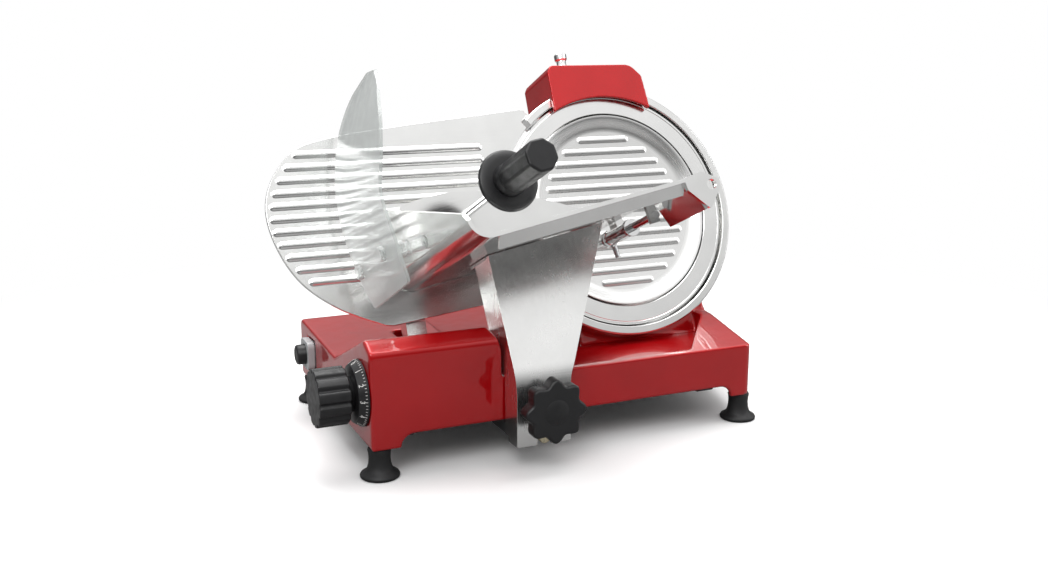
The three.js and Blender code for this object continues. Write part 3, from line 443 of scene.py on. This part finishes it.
RUBBER = plastic("black_rubber", (0.011, 0.011, 0.012), 0.5, 0.7, 0.5, 0.35)
GREY = plastic("grey_plastic", (0.48, 0.49, 0.50), 0.3, 0.5)
WHITE = plastic("white_marking", (0.8, 0.8, 0.78), 0.4, 0.6)
CLEAR = clear_plastic()
STONE = plastic("grey_stone", (0.34, 0.32, 0.30), 0.85, 0.95, 1.5, 0.9)
PINK = plastic("pink_stone", (0.52, 0.34, 0.30), 0.85, 0.95, 1.5, 0.9)
MOTOR = plastic("motor_paint", (0.05, 0.055, 0.06), 0.4, 0.6)
GREEN = plastic("board_green", (0.03, 0.16, 0.08), 0.4, 0.6)


# ------------------------------------------------------------------ bodies
BODY_OF = {node: body for body, nodes in frame["record"]["behaviour"]["bodies"].items() for node in nodes}
SLOT_OF = {entry["node"]: entry["material_slot"] for entry in frame["record"]["subparts"]}


def finish_piece(obj, node, material, stands_for=True):
    """Puts a piece on its body, gives it its material, and lets it stand for its CAD node."""
    obj.data.materials.clear()
    obj.data.materials.append(material)
    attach(obj, BODY_OF[node])
    if stands_for:
        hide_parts(node)
    return obj


# ------------------------------------------------------------------ base
def gauge_block():
    """The raised block at the left end, with its sloping top."""
    wedge = rounded([(-126, 27), (126, 27), (126, 86), (-10, 80), (-108, 121), (-126, 113)],
                    [0, 0, 7, 14, 5, 6], 6)
    block = prism("block", "x", wedge, -196, -76, ROOT)
    ends = prism("ends", "y", rounded([(-196, 27), (-76, 27), (-76, 130), (-196, 130)], [0, 0, 34, 6], 8),
                 -127, 127, ROOT)
    return combine(block, [ends], "INTERSECT")


def blade_tower():
    """The tower behind the blade, and the hump over the motor behind it."""
    outline = rounded([(-62, -152), (95, -152), (93, -100), (60, -40), (60, 40), (24, 62), (-24, 62),
                       (-60, 40)], [0, 0, 12, 30, 24, 16, 16, 24], 6)
    tower = prism("tower", "z", outline, -46, -16.4, BLADE)
    hump = turned("hump", "z", [(0, -106), (37, -106), (43, -100), (43, -45), (0, -45)], BLADE, (0, -75), 64)
    skirt = slab("skirt", (-43, 43), (-140, -75), (-105, -45), BLADE)
    weld(hump, skirt)
    combine(hump, [slab("clip", (-300, 300), (-200, 125.6), (60, 300), ROOT)], "INTERSECT")
    combine(tower, [slab("clip", (-300, 300), (-200, 200), (54, 300), ROOT)], "INTERSECT")
    return tower, hump


def base_openings():
    """What is cut out of the casting: the lower inside, the skirt's arches, the holes and the belt's space.

    The inside stops at z = 53. Above it the block, hump and tower are solid, though the CAD casting is hollow
    there, so the mechanism that they hide is buried in them.
    """
    inside = [(-191, -121), (182, -121), (217, 0), (217, 121), (-191, 121)]
    openings = [prism("low", "z", inside, 10, 53, ROOT)]
    arch = rounded([(-171, 10), (168, 10), (165, 38), (-168, 38)], [0, 0, 12, 12], 6)
    for y in (-122, 122):
        openings.append(prism("arch", "y", arch, y - 9, y + 9, ROOT))
    openings.append(slab("slot", (-121, -95), (-3, 50), (50, 96), ROOT))
    openings.append(slab("switch", (-198, -188), (65, 95), (46, 74), ROOT))
    knob_hole = [(0, -198), (8, -198), (8, -186), (0, -186)]
    openings.append(turned("knob_hole", "x", knob_hole, ROOT, KNOB_AT, 32))
    cord_hole = [(0, 118), (6, 118), (6, 130), (0, 130)]
    openings.append(turned("cord_hole", "y", cord_hole, ROOT, (-150, 52), 24))
    belt_space = [(0, -41), (51, -41), (51, -14), (0, -14)]
    openings.append(turned("belt_space", "z", belt_space, BLADE, (0, 0), 64))
    return openings


def base():
    plan = rounded([(-196, -126), (187, -126), (222, -2), (222, 126), (-196, 126)], [7, 7, 34, 12, 7], 6)
    body = prism("look_base", "z", plan, 27, 78, ROOT)
    weld(body, gauge_block())
    valley = rounded([(-62, -116.5), (124, -116.5), (206, -6), (206, 10), (-62, 10)], [9, 12, 5, 0, 0], 5)
    carve(body, prism("valley", "z", valley, 58, 110, ROOT))
    weld(body, *blade_tower())
    carve(body, *base_openings())
    cast(body, 1.5, 12)
    return finish_piece(body, "base_casting", RED)


def feet():
    profile = [(3.3, 8), (6.5, 8), (6.5, 0), (16.2, 0), (17.2, 0.8), (17.4, 2.2), (16.6, 3.6), (13.4, 5.2),
               (11.2, 8), (10.0, 12), (9.5, 17), (9.8, 22), (10.4, 25), (9.6, 26.6), (3.3, 26.6)]
    for name, at in FEET.items():
        foot = smooth(turned("look_foot_" + name, "z", profile, ROOT, at, 64), 50)
        finish_piece(foot, "foot_" + name, RUBBER)


# ------------------------------------------------------------------ blade side
def ring_guard():
    profile = [(127, 1.8), (127.7, 2.6), (134.6, 2.6), (135.8, 1.4), (135.8, -14.6), (134.8, -15.6),
               (63, -15.6), (63, -12.8), (127, -12.8)]
    ring = turned("look_ring_guard", "z", profile, BLADE, (0, 0), 180, 225, 267)
    return finish_piece(soften(ring, 0.35, 2, 40), "ring_guard", SATIN)


def blade():
    profile = [(17, -8.4), (104.2, -8.4), (105.2, -0.6), (105.6, -0.3), (121.4, 0), (121.9, -0.25),
               (122.4, 0), (124.5, 0), (125, -0.5), (117, -4.6), (108, -11.4), (17, -11.4)]
    disc = smooth(turned("look_blade", "z", profile, BLADE, (0, 0), 256), 20)
    return finish_piece(disc, "blade", BLADE_STEEL)


def pill(name, length, width, height, at, level, space):
    """A softly raised rib with round ends, long in x."""
    rings = 11
    shrink = 0.92
    verts = []
    outline = arc(width / 2, (length / 2, 0), -90, 180, 12) + arc(width / 2, (-length / 2, 0), 90, 180, 12)
    count = len(outline)
    for k in range(rings):
        t = k / (rings - 1)
        rise = (0.5 - 0.5 * math.cos(t * math.pi)) * height
        for x, y in outline:
            side = length / 2 if x > 0 else -length / 2
            verts.append((at[0] + side + (x - side) * (1 - shrink * t), at[1] + y * (1 - shrink * t),
                          level + rise))
    faces = [list(range(count)), list(range((rings - 1) * count, rings * count))]
    for k in range(rings - 1):
        for i in range(count):
            j = (i + 1) % count
            faces.append([k * count + i, k * count + j, (k + 1) * count + j, (k + 1) * count + i])
    return new_object(name, verts, faces, space)


def blade_cover():
    dish = 86
    pitch = 13
    margin = 9
    profile = [(0, -8), (98, -8), (102.8, -2), (103.4, -0.2), (103, 0.4), (102, 0.4), (99.5, -0.5),
               (96, -2.6), (92.5, -4.9), (89.5, -6.1), (dish, -6.6), (0, -6.6)]
    disc = smooth(turned("look_blade_cover", "z", profile, BLADE, (0, 0), 192), 40)
    ribs = []
    for i in range(-6, 7):
        v = i * pitch
        reach = math.sqrt(dish ** 2 - v ** 2) - margin
        ribs.append(smooth(pill("rib", 2 * reach, 9.0, 1.2, (0, v), -6.65, BLADE), 60))
    stud = turned("stud", "z", [(0, -96), (3, -96), (3, -5), (0, -5)], BLADE, (0, 0), 32)
    gather(disc, smooth(stud), *ribs)
    return finish_piece(disc, "blade_cover", DISC)


def gauge_outline():
    blade_side = arc(128.6, (0, 0), 134, 85, 60)
    left = spline([(-270, -98), (-312, -78), (-345, -50), (-364, -13), (-369, 24), (-357, 56), (-330, 82),
                   (-283, 93)], 8)
    top = [(-226, 100), (-95, 113), (-90.5, 112), (-89, 109)]
    return blade_side + [(-262, -99)] + left + top + arc(137, (0, 0), 129, 4.6, 4)


def gauge_plate():
    plate = soften(prism("look_gauge_plate", "z", gauge_outline(), -4, 0, BLADE), 0.7, 2, 40)
    bake(plate)
    lowest = -50
    pitch = 12.4
    right = -146
    ribs = []
    for i in range(11):
        v = lowest + i * pitch
        left = -364 + 0.0075 * (v - 12) ** 2
        middle = (left + right) / 2
        ribs.append(smooth(pill("rib", right - left - 2, 9.6, 1.3, (middle, v), -0.1, BLADE), 60))
    stiffener = soften(slab("stiffener", (-266, -206), (-92, 20), (-12, -3.8), BLADE), 1.5)
    bake(stiffener)
    gather(plate, stiffener, *ribs)
    return finish_piece(plate, "gauge_plate", SATIN)


def sharpener():
    outer = prism("look_sharpener_cover", "z", rounded([(-58, 100), (57, 100), (53, 144), (41, 157),
                  (-55, 157), (-59, 150)], [0, 0, 8, 16, 5, 5], 6), -56, 9, BLADE)
    inner = prism("inner", "z", rounded([(-55, 90), (53, 90), (49.5, 142), (38, 153.8), (-53, 153.8),
                  (-55.6, 148)], [0, 0, 7, 13, 4, 3], 6), -60, 6, BLADE)
    blade_arc = turned("blade_arc", "z", [(0, -70), (121, -70), (121, 20), (0, 20)], BLADE, (0, 0), 128)
    guard_arc = turned("guard_arc", "z", [(0, -70), (136.4, -70), (136.4, 3.2), (0, 3.2)], BLADE, (0, 0), 128)
    hole = turned("hole", "y", [(0, 150), (3.6, 150), (3.6, 165), (0, 165)], BLADE, SHARPENER_PIN_AT, 24)
    carve(outer, inner, blade_arc, guard_arc, hole)
    cast(outer, 0.8, 4)
    finish_piece(outer, "sharpener_cover", RED)
    pin = turned("look_sharpener_pin", "y", [(0, 143), (3, 143), (3, 157.3), (6.2, 157.4), (6.8, 158),
                 (6.8, 159.6), (5.6, 160.8), (5, 162), (5, 166), (5.8, 167.2), (6.6, 168), (6.6, 173),
                 (6, 174), (0, 174)], BLADE, SHARPENER_PIN_AT, 48)
    finish_piece(smooth(pin, 30), "sharpener_pin", CHROME)


# ------------------------------------------------------------------ tray
def tray():
    """A folded sheet: floor, fence, and the front corner's flap and tab."""
    half = 1.7
    floor = slab("look_tray", (TRAY_BEND - 0.5, 205), (-half, half), (4, 220), TRAY)
    outer = arc(TRAY_BEND + half, (TRAY_BEND, TRAY_BEND), 180, 90, 16)
    inner = arc(TRAY_BEND - half, (TRAY_BEND, TRAY_BEND), 180, 90, 16)
    bend = prism("bend", "z", outer + inner[::-1], 4, 220, TRAY)
    fence_outline = rounded([(TRAY_BEND - 0.5, 4), (TRAY_BEND - 0.5, 220), (24, 213), (86, 4)],
                            [0, 0, 9, 7], 6)
    fence = prism("fence", "x", fence_outline, -half, half, TRAY)
    flap_outline = [(204, half), (208, 0.8), (211, -3), (219, -28), (215.4, -29), (207.6, -5), (204, -half)]
    flap = prism("flap", "z", flap_outline, 155, 216.5, TRAY)
    tab_outline = rounded([(203, 1.7), (222, 4), (241, -9), (219, -30), (203, -9)], [1, 9, 14, 3, 5], 7)
    tab = prism("tab", "z", tab_outline, 216, 220, TRAY)
    fold = prism("fold", "x", [(0.8, 219.4), (-0.4, 216.6), (-9.8, 207.6), (-11, 209.2), (-1.4, 219.4)],
                 TRAY_BEND + 4, 203.5, TRAY)
    lugs = [fold]
    for low in (6, 155.5):
        lugs.append(slab("lug", (195, 204.8), (-21.5, -1.2), (low, low + 4), TRAY))
    weld(floor, bend, fence, flap, tab, *lugs)
    cutters = [turned("hole", "z", [(0, 200), (4.8, 200), (4.8, 240), (0, 240)], TRAY, (228, -9.5), 40)]
    cutters.append(turned("rod_hole", "z", [(0, 0), (4.2, 0), (4.2, 162), (0, 162)], TRAY, PUSH_ROD, 40))
    screw_hole = [(0, -10), (2.4, -10), (2.4, 10), (0, 10)]
    for s in GUARD_SCREWS.values():
        cutters.append(turned("screw", "x", screw_hole, TRAY, (GUARD_SCREW_HEIGHT, s), 24))
    carve(floor, *cutters)
    return finish_piece(soften(floor, 0.5, 2, 35), "tray", MIRROR)


def hand_guard():
    """A clear sheet, upright beside the fence and curling over it towards the top."""
    side = rounded([(-11, 40), (-9, 150), (72, 151), (92, 174), (120, 183), (158, 164), (180, 130), (194, 82),
                    (191, 28), (165, 20), (50, 20), (18, 26), (0, 34)],
                   [6, 6, 34, 34, 34, 40, 44, 30, 24, 30, 30, 12, 8], 6)
    bend_start = 55
    bend_radius = 215
    offset = -37
    thick = 3
    shortest = -14
    longest = 216
    steps = 48
    curve = []
    for i in range(steps + 1):
        length = shortest + i / steps * (longest - shortest)
        turn = max(0.0, (length - bend_start) / bend_radius)
        up = min(length, bend_start) + bend_radius * math.sin(turn)
        over = bend_radius * (1 - math.cos(turn))
        curve.append((offset + over, up))
    section = curve + [(a - thick, k) for a, k in curve[::-1]]
    sheet = prism("look_hand_guard", "z", section, 0, 200, TRAY)
    combine(sheet, [prism("window", "x", side, -80, 60, TRAY)], "INTERSECT")
    holes = []
    screw_hole = [(0, -60), (2.4, -60), (2.4, -20), (0, -20)]
    for s in GUARD_SCREWS.values():
        holes.append(turned("hole", "x", screw_hole, TRAY, (GUARD_SCREW_HEIGHT, s), 24))
    carve(sheet, *holes)
    finish_piece(soften(sheet, 0.8, 2, 40), "hand_guard", CLEAR)
    profile = [(0, -45), (5.6, -45), (6.5, -44), (6.5, -40.4), (2, -40.4), (2, -36.6), (6.2, -36.6),
               (6.5, -36), (6.5, -22), (4.8, -21), (4.8, -18), (6.5, -17), (6.5, -2.3), (2, -2.3), (2, 4),
               (0, 4)]
    for name, s in GUARD_SCREWS.items():
        screw = turned("look_" + name, "x", profile, TRAY, (GUARD_SCREW_HEIGHT, s), 40)
        finish_piece(smooth(screw, 40), name, CLEAR)


def pusher_rod():
    rod = turned("look_pusher_rod", "z", [(0, 6.5), (3.6, 6.5), (4, 7), (4, 158.4), (3.5, 159), (0, 159)],
                 TRAY, PUSH_ROD, 40)
    finish_piece(smooth(rod), "pusher_rod", CHROME)
    sleeve = turned("look_pusher_sleeve", "z", [(4.15, 62), (8.2, 62), (8.6, 62.4), (8.6, 66), (8.2, 66.4),
                    (7, 67), (7, 107), (8.2, 107.6), (8.6, 108), (8.6, 111.6), (8.2, 112), (4.15, 112)],
                    TRAY, PUSH_ROD, 48)
    finish_piece(smooth(sleeve, 30), "pusher_sleeve", CHROME)


def pusher_plate():
    """The plate with its row of teeth, a strap down to the sleeve, and the strap's tail."""
    high = PLATE_S + PLATE_THICK
    teeth = []
    for i in range(22):
        a = 14 + i * 8
        teeth += [(a, 5), (a + 4, 8.5)]
    top = spline([(216, 8), (196, 12), (176, 26), (150, 40), (110, 58), (66, 70), (30, 72), (6, 70)], 6)
    outline = [(4.5, 20), (6, 8.5), (10, 8.5)] + teeth + [(196, 6), (216, 2)] + top + [(4.5, 68)]
    plate = prism("look_pusher_plate", "z", outline, PLATE_S, high, TRAY)
    strap = prism("strap", "z", [(209, 11), (209, -14), (212.2, -14), (218, 8)], PLATE_S, high, TRAY)
    tail = prism("tail", "z", rounded([(208.7, -20), (216, -20), (218, 6), (208.7, 6)], [1, 3, 3, 1], 3),
                 PLATE_S, PLATE_S + 14, TRAY)
    weld(plate, strap, tail)
    carve(plate, turned("clear", "z", [(0, 50), (8.8, 50), (8.8, 130), (0, 130)], TRAY, PUSH_ROD, 40),
          turned("hole", "z", [(0, 50), (3.3, 50), (3.3, 80), (0, 80)], TRAY, HANDLE_AT, 24))
    finish_piece(soften(plate, 0.4, 2, 35), "pusher_plate", MIRROR)


def pusher_handle():
    stud = turned("look_handle_stud", "z", [(0, 59), (5, 59), (5, 61.7), (3, 61.7), (3, 65.3), (4, 65.3),
                  (4, 151.7), (3, 151.7), (3, 212), (0, 212)], TRAY, HANDLE_AT, 40)
    finish_piece(smooth(stud), "handle_stud", CHROME)
    disc = turned("look_handle_disc", "z", [(3.2, 152), (26.8, 152), (27.8, 152.6), (28, 153.4),
                  (27.4, 154.8), (26, 155.8), (20, 156), (3.2, 156)], TRAY, HANDLE_AT, 96)
    finish_piece(smooth(disc, 50), "handle_disc", BLACK)
    grip = prism("look_pusher_handle", "z", arc(15.2, HANDLE_AT, 22.5, 360, 8), 168, 229, TRAY)
    soften(grip, 2.2, 5, 30)
    bake(grip)
    collar = turned("collar", "z", [(3.2, 156.4), (14, 156.4), (15, 157.4), (15, 160), (13, 163), (12.4, 167),
                    (12.4, 170), (3.2, 170)], TRAY, HANDLE_AT, 64)
    gather(grip, smooth(collar, 50))
    finish_piece(grip, "pusher_handle", BLACK)


# ------------------------------------------------------------------ carriage
def arm():
    """A folded sheet: a front with a wide bend in it and a flange down each side."""
    rise = ARM_UPPER * math.cos(ARM_LEAN)
    run = ARM_UPPER * math.sin(ARM_LEAN)
    top = ARM_BEND + rise
    side = rounded([(ARM_FRONT, 22), (ARM_FRONT, ARM_BEND), (ARM_FRONT + run, top),
                    (ARM_FRONT + run + 30.5, top - 19.1), (-129, 53.7), (-129, 22)], [0, 55, 0, 0, 0, 0], 12)
    front = rounded([(-74.5, 22), (-22.5, 22), (-22.5, 80), (50, top), (-74.5, top)], [0, 0, 26, 0, 0], 6)
    inside = rounded([(-152, 10), (-152, 79.1), (-61.9, 223.3), (60, 223.3), (60, 10)], [0, 52, 0, 0, 0], 12)
    between = rounded([(-71.5, 10), (-25.7, 10), (-25.7, 80.4), (60.1, 231), (-71.5, 231)],
                      [0, 0, 24, 0, 0], 6)
    sheet = prism("look_carriage_arm", "x", side, -90, 70, ROOT)
    combine(sheet, [prism("front", "y", front, -200, 60, ROOT)], "INTERSECT")
    hollow = prism("hollow", "x", inside, -90, 70, ROOT)
    combine(hollow, [prism("between", "y", between, -200, 80, ROOT)], "INTERSECT")
    under = slab("under", (-100, 400), (-2.3, 300), (-100, 400), TRAY)
    wall = slab("wall", (-300, 300), (-128.5, 0), (0, 80), ROOT)
    notch_outline = [(-55.1, 10), (-41.9, 10)] + arc(6.6, LOCATING_PIN_AT, 0, 180, 16)
    notch = prism("notch", "y", notch_outline, -157, -151, ROOT)
    stud = turned("stud", "y", [(0, -157), (4.6, -157), (4.6, -149), (0, -149)], ROOT, STAR_AT, 32)
    corner_low = slab("corner", (-80, -71), (-136, -120), (10, 27), ROOT)
    corner_high = slab("corner", (-26, -18), (-136, -120), (10, 27), ROOT)
    carve(sheet, hollow, under, wall, notch, stud, corner_low, corner_high)
    pad = slab("pad", (50, 110), (-5.2, -2.3), (70, 110), TRAY)
    gather(sheet, pad)
    return finish_piece(soften(sheet, 1.1, 3, 25), "carriage_arm", ARM_METAL)


def star_knob():
    lobes = []
    for i in range(160):
        angle = i / 160 * 2 * math.pi
        wave = math.cos(angle * 8)
        radius = 26.1 + 2.6 * wave
        lobes.append((STAR_AT[0] + radius * math.cos(angle), STAR_AT[1] + radius * math.sin(angle)))
    star = prism("look_star_knob", "y", lobes, -181, -166, ROOT)
    soften(star, 2.6, 5, 40)
    bake(star)
    hub = turned("hub", "y", [(0, -181.3), (10.6, -181.3), (11.2, -180.8), (11.2, -178), (0, -178)], ROOT,
                 STAR_AT, 64)
    neck = turned("neck", "y", [(0, -168), (14, -168), (12.6, -164), (9.5, -159), (9, -155.4), (4, -155.4),
                  (4, -133), (0, -133)], ROOT, STAR_AT, 48)
    gather(star, smooth(hub, 40), smooth(neck, 40))
    finish_piece(star, "star_knob", BLACK)
    pin = turned("look_locating_pin", "y", [(0, -157.5), (3.6, -157.5), (4.8, -157.1), (5.4, -156),
                 (5.4, -152), (3, -152), (3, -141), (0, -141)], ROOT, LOCATING_PIN_AT, 40)
    finish_piece(smooth(pin, 30), "locating_pin", BRASS)


# ------------------------------------------------------------------ controls
def thickness_knob():
    grip = []
    for i in range(192):
        angle = i / 192 * 2 * math.pi
        radius = 25.2 - 2.4 * max(0.0, math.cos(angle * 12)) ** 2
        grip.append((KNOB_AT[0] + radius * math.cos(angle), KNOB_AT[1] + radius * math.sin(angle)))
    barrel = prism("look_thickness_knob", "x", grip, -238, -210.6, ROOT)
    soften(barrel, 1.4, 4, 50)
    bake(barrel)
    neck = turned("neck", "x", [(0, -211.5), (17.6, -211.5), (16, -208), (15.4, -205.6), (0, -205.6)], ROOT,
                  KNOB_AT, 64)
    gather(barrel, smooth(neck, 40))
    finish_piece(barrel, "thickness_knob", BLACK)
    dial = turned("look_dial_ring", "x", [(0, -205.3), (24.2, -205.3), (25.2, -204.8), (29.4, -198),
                  (29.4, -196.6), (0, -196.6)], ROOT, KNOB_AT, 96)
    finish_piece(smooth(dial, 30), "dial_ring", BLACK)


def numeral(text, size, height):
    """A number as a thin raised mesh, centred on its own x."""
    curve = bpy.data.curves.new("number", "FONT")
    curve.body = text
    curve.size = size * MM
    curve.extrude = height * MM
    curve.align_x = "CENTER"
    letter = bpy.data.objects.new("number", curve)
    bpy.context.scene.collection.objects.link(letter)
    graph = bpy.context.evaluated_depsgraph_get()
    mesh = bpy.data.meshes.new_from_object(letter.evaluated_get(graph))
    bpy.data.objects.remove(letter)
    number = bpy.data.objects.new("number", mesh)
    bpy.context.scene.collection.objects.link(number)
    return number


def dial_marks():
    """Ticks and the numbers 0 to 11 round the dial's sloping rim."""
    ticks = 60
    numbers = 12
    marks = []
    rim = ROOT @ Matrix.Translation(Vector((0, KNOB_AT[0], KNOB_AT[1])) * MM)
    slope = math.atan2(4.2, 6.8)
    for i in range(ticks):
        mark = slab("tick", (-1.6 if i % 5 == 0 else 0.0, 1.6), (-0.22, 0.22), (-0.2, 0.16), ROOT)
        seat = Matrix.Translation(Vector((-199.7, 0, 28.36)) * MM) @ Matrix.Rotation(-slope, 4, "Y")
        mark.matrix_world = rim @ Matrix.Rotation(math.radians(i * 360 / ticks), 4, "X") @ seat
        marks.append(mark)
    for i in range(numbers):
        number = numeral(str(i), 6.0, 0.12)
        seat = (Matrix.Translation(Vector((-202.1, 0, 26.9)) * MM) @ Matrix.Rotation(-slope, 4, "Y")
                @ Matrix.Rotation(-math.pi / 2, 4, "Z") @ Matrix.Translation(Vector((0, -2.1, 0)) * MM))
        number.matrix_world = rim @ Matrix.Rotation(math.radians(i * 360 / numbers), 4, "X") @ seat
        marks.append(number)
    bpy.context.view_layer.update()
    first = marks[0]
    first.name = "look_dial_marks"
    gather(first, *marks[1:])
    finish_piece(first, "dial_ring", WHITE, False)


def power_switch():
    body = slab("look_switch_housing", (-197, -172), (68, 92), (49.5, 70.5), ROOT)
    plate = prism("plate", "x", rounded([(64.5, 45.5), (95.5, 45.5), (95.5, 74.5), (64.5, 74.5)], 8, 6),
                  -203, -196.3, ROOT)
    weld(body, plate)
    carve(body, turned("bore", "x", [(0, -205), (10.4, -205), (10.4, -184), (0, -184)], ROOT, BUTTON_AT, 64))
    finish_piece(soften(body, 0.8, 3, 30), "switch_housing", GREY)
    button = turned("look_power_button", "x", [(0, -211.4), (6.8, -211.4), (7.4, -211.9), (9.2, -211.2),
                    (10, -209.8), (10, -192), (0, -192)], ROOT, BUTTON_AT, 64)
    finish_piece(smooth(button, 30), "power_button", BLACK)


# ------------------------------------------------------------------ pieces that keep their CAD shape
CAD_MATERIALS = {
    "red_paint": RED, "polished_metal": MIRROR, "satin_aluminium": SATIN, "bright_steel": STEEL,
    "chrome_plate": CHROME, "black_plastic": BLACK, "grey_plastic": GREY, "black_rubber": RUBBER,
    "brass_pin": BRASS, "clear_plastic": CLEAR, "grey_stone": STONE, "pink_stone": PINK,
    "motor_paint": MOTOR, "board_green": GREEN,
}


def dress_cad():
    for name, obj in frame["nodes"].items():
        obj.data.materials.clear()
        obj.data.materials.append(CAD_MATERIALS[SLOT_OF[name]])


# ------------------------------------------------------------------ studio
def pale_floor():
    """A pale floor that runs out into white, so that no horizon shows; reflections see it dimmer."""
    floor = slab("floor", (-6000, 6000), (-6000, 6000), (-20, -0.2), Matrix.Identity(4))
    n = Nodes("pale_floor")
    n.set(Roughness=0.5)
    n.tone(n.noise(n.millimetres(), 0.002), (0.90, 0.90, 0.90), (0.94, 0.94, 0.94))
    far = n.add("ShaderNodeVectorMath", operation="LENGTH")
    n.link(n.millimetres(), far.inputs[0])
    fade = n.add("ShaderNodeMapRange", interpolation_type="SMOOTHSTEP")
    fade.inputs["From Min"].default_value = 300
    fade.inputs["From Max"].default_value = 900
    n.link(far.outputs["Value"], fade.inputs["Value"])
    ray = n.add("ShaderNodeLightPath")
    seen = n.add("ShaderNodeMath", operation="MULTIPLY")
    n.link(fade.outputs["Result"], seen.inputs[0])
    n.link(ray.outputs["Is Camera Ray"], seen.inputs[1])
    dim = n.add("ShaderNodeBsdfDiffuse", Color=(0.26, 0.26, 0.26, 1))
    lit = n.add("ShaderNodeMixShader")
    n.link(ray.outputs["Is Camera Ray"], lit.inputs["Fac"])
    n.link(dim.outputs[0], lit.inputs[1])
    n.link(n.surface.outputs[0], lit.inputs[2])
    white = n.add("ShaderNodeEmission", Strength=1.0)
    mix = n.add("ShaderNodeMixShader")
    n.link(seen.outputs[0], mix.inputs["Fac"])
    n.link(lit.outputs[0], mix.inputs[1])
    n.link(white.outputs[0], mix.inputs[2])
    n.link(mix.outputs[0], n.output.inputs["Surface"])
    floor.data.materials.append(n.material)


def soft_light(name, at, aim, size, power):
    data = bpy.data.lights.new(name, "AREA")
    data.shape = "RECTANGLE"
    data.size = size[0]
    data.size_y = size[1]
    data.energy = power
    light = bpy.data.objects.new(name, data)
    bpy.context.scene.collection.objects.link(light)
    light.location = at
    light.rotation_euler = (Vector(aim) - Vector(at)).to_track_quat("-Z", "Y").to_euler()


def studio():
    """White to the camera. To reflections, the surroundings are bright above and dim below."""
    scene = bpy.context.scene
    scene.view_settings.view_transform = "Standard"
    world = bpy.data.worlds.new("studio")
    scene.world = world
    world.use_nodes = True
    tree = world.node_tree
    coordinate = tree.nodes.new("ShaderNodeTexCoord")
    split = tree.nodes.new("ShaderNodeSeparateXYZ")
    tree.links.new(coordinate.outputs["Generated"], split.inputs[0])
    ramp = tree.nodes.new("ShaderNodeValToRGB")
    lift = tree.nodes.new("ShaderNodeMapRange")
    lift.inputs["From Min"].default_value = -1
    tree.links.new(split.outputs["Z"], lift.inputs["Value"])
    tree.links.new(lift.outputs["Result"], ramp.inputs["Fac"])
    stops = ramp.color_ramp.elements
    stops[0].position, stops[0].color = 0.48, (0.06, 0.06, 0.06, 1)
    stops[1].position, stops[1].color = 0.80, (1.0, 1.0, 1.0, 1)
    middle = stops.new(0.60)
    middle.color = (0.16, 0.16, 0.16, 1)
    ray = tree.nodes.new("ShaderNodeLightPath")
    pick = tree.nodes.new("ShaderNodeMix")
    pick.data_type = "RGBA"
    for socket in pick.inputs:
        if socket.name == "B" and socket.type == "RGBA":
            socket.default_value = (1, 1, 1, 1)
        if socket.name == "A" and socket.type == "RGBA":
            tree.links.new(ramp.outputs["Color"], socket)
    tree.links.new(ray.outputs["Is Camera Ray"], pick.inputs[0])
    background = tree.nodes["Background"]
    result = [socket for socket in pick.outputs if socket.type == "RGBA"][0]
    tree.links.new(result, background.inputs["Color"])
    background.inputs["Strength"].default_value = 1.0
    pale_floor()
    aim = (0.0, 0.0, 0.15)
    soft_light("key", (-1.1, -1.5, 1.7), aim, (1.1, 1.1), 20)
    soft_light("top", (0.1, 0.1, 1.6), aim, (1.5, 1.0), 20)
    soft_light("rear", (0.1, 1.0, 1.9), aim, (1.4, 0.7), 12)
    soft_light("side", (1.7, -0.6, 0.8), aim, (0.6, 1.2), 7)


def camera():
    data = bpy.data.cameras.new("camera")
    data.lens = LENS
    data.sensor_width = SENSOR
    view = bpy.data.objects.new("camera", data)
    bpy.context.scene.collection.objects.link(view)
    view.location = Vector(CAMERA_AT) * MM + Vector(SHIFT)
    view.rotation_euler = (math.radians(90 - CAMERA_DOWN), 0, math.radians(-CAMERA_TURN))
    bpy.context.scene.camera = view


base()
feet()
ring_guard()
blade()
blade_cover()
gauge_plate()
sharpener()
tray()
hand_guard()
pusher_rod()
pusher_plate()
pusher_handle()
arm()
star_knob()
thickness_knob()
dial_marks()
power_switch()
dress_cad()
studio()
camera()
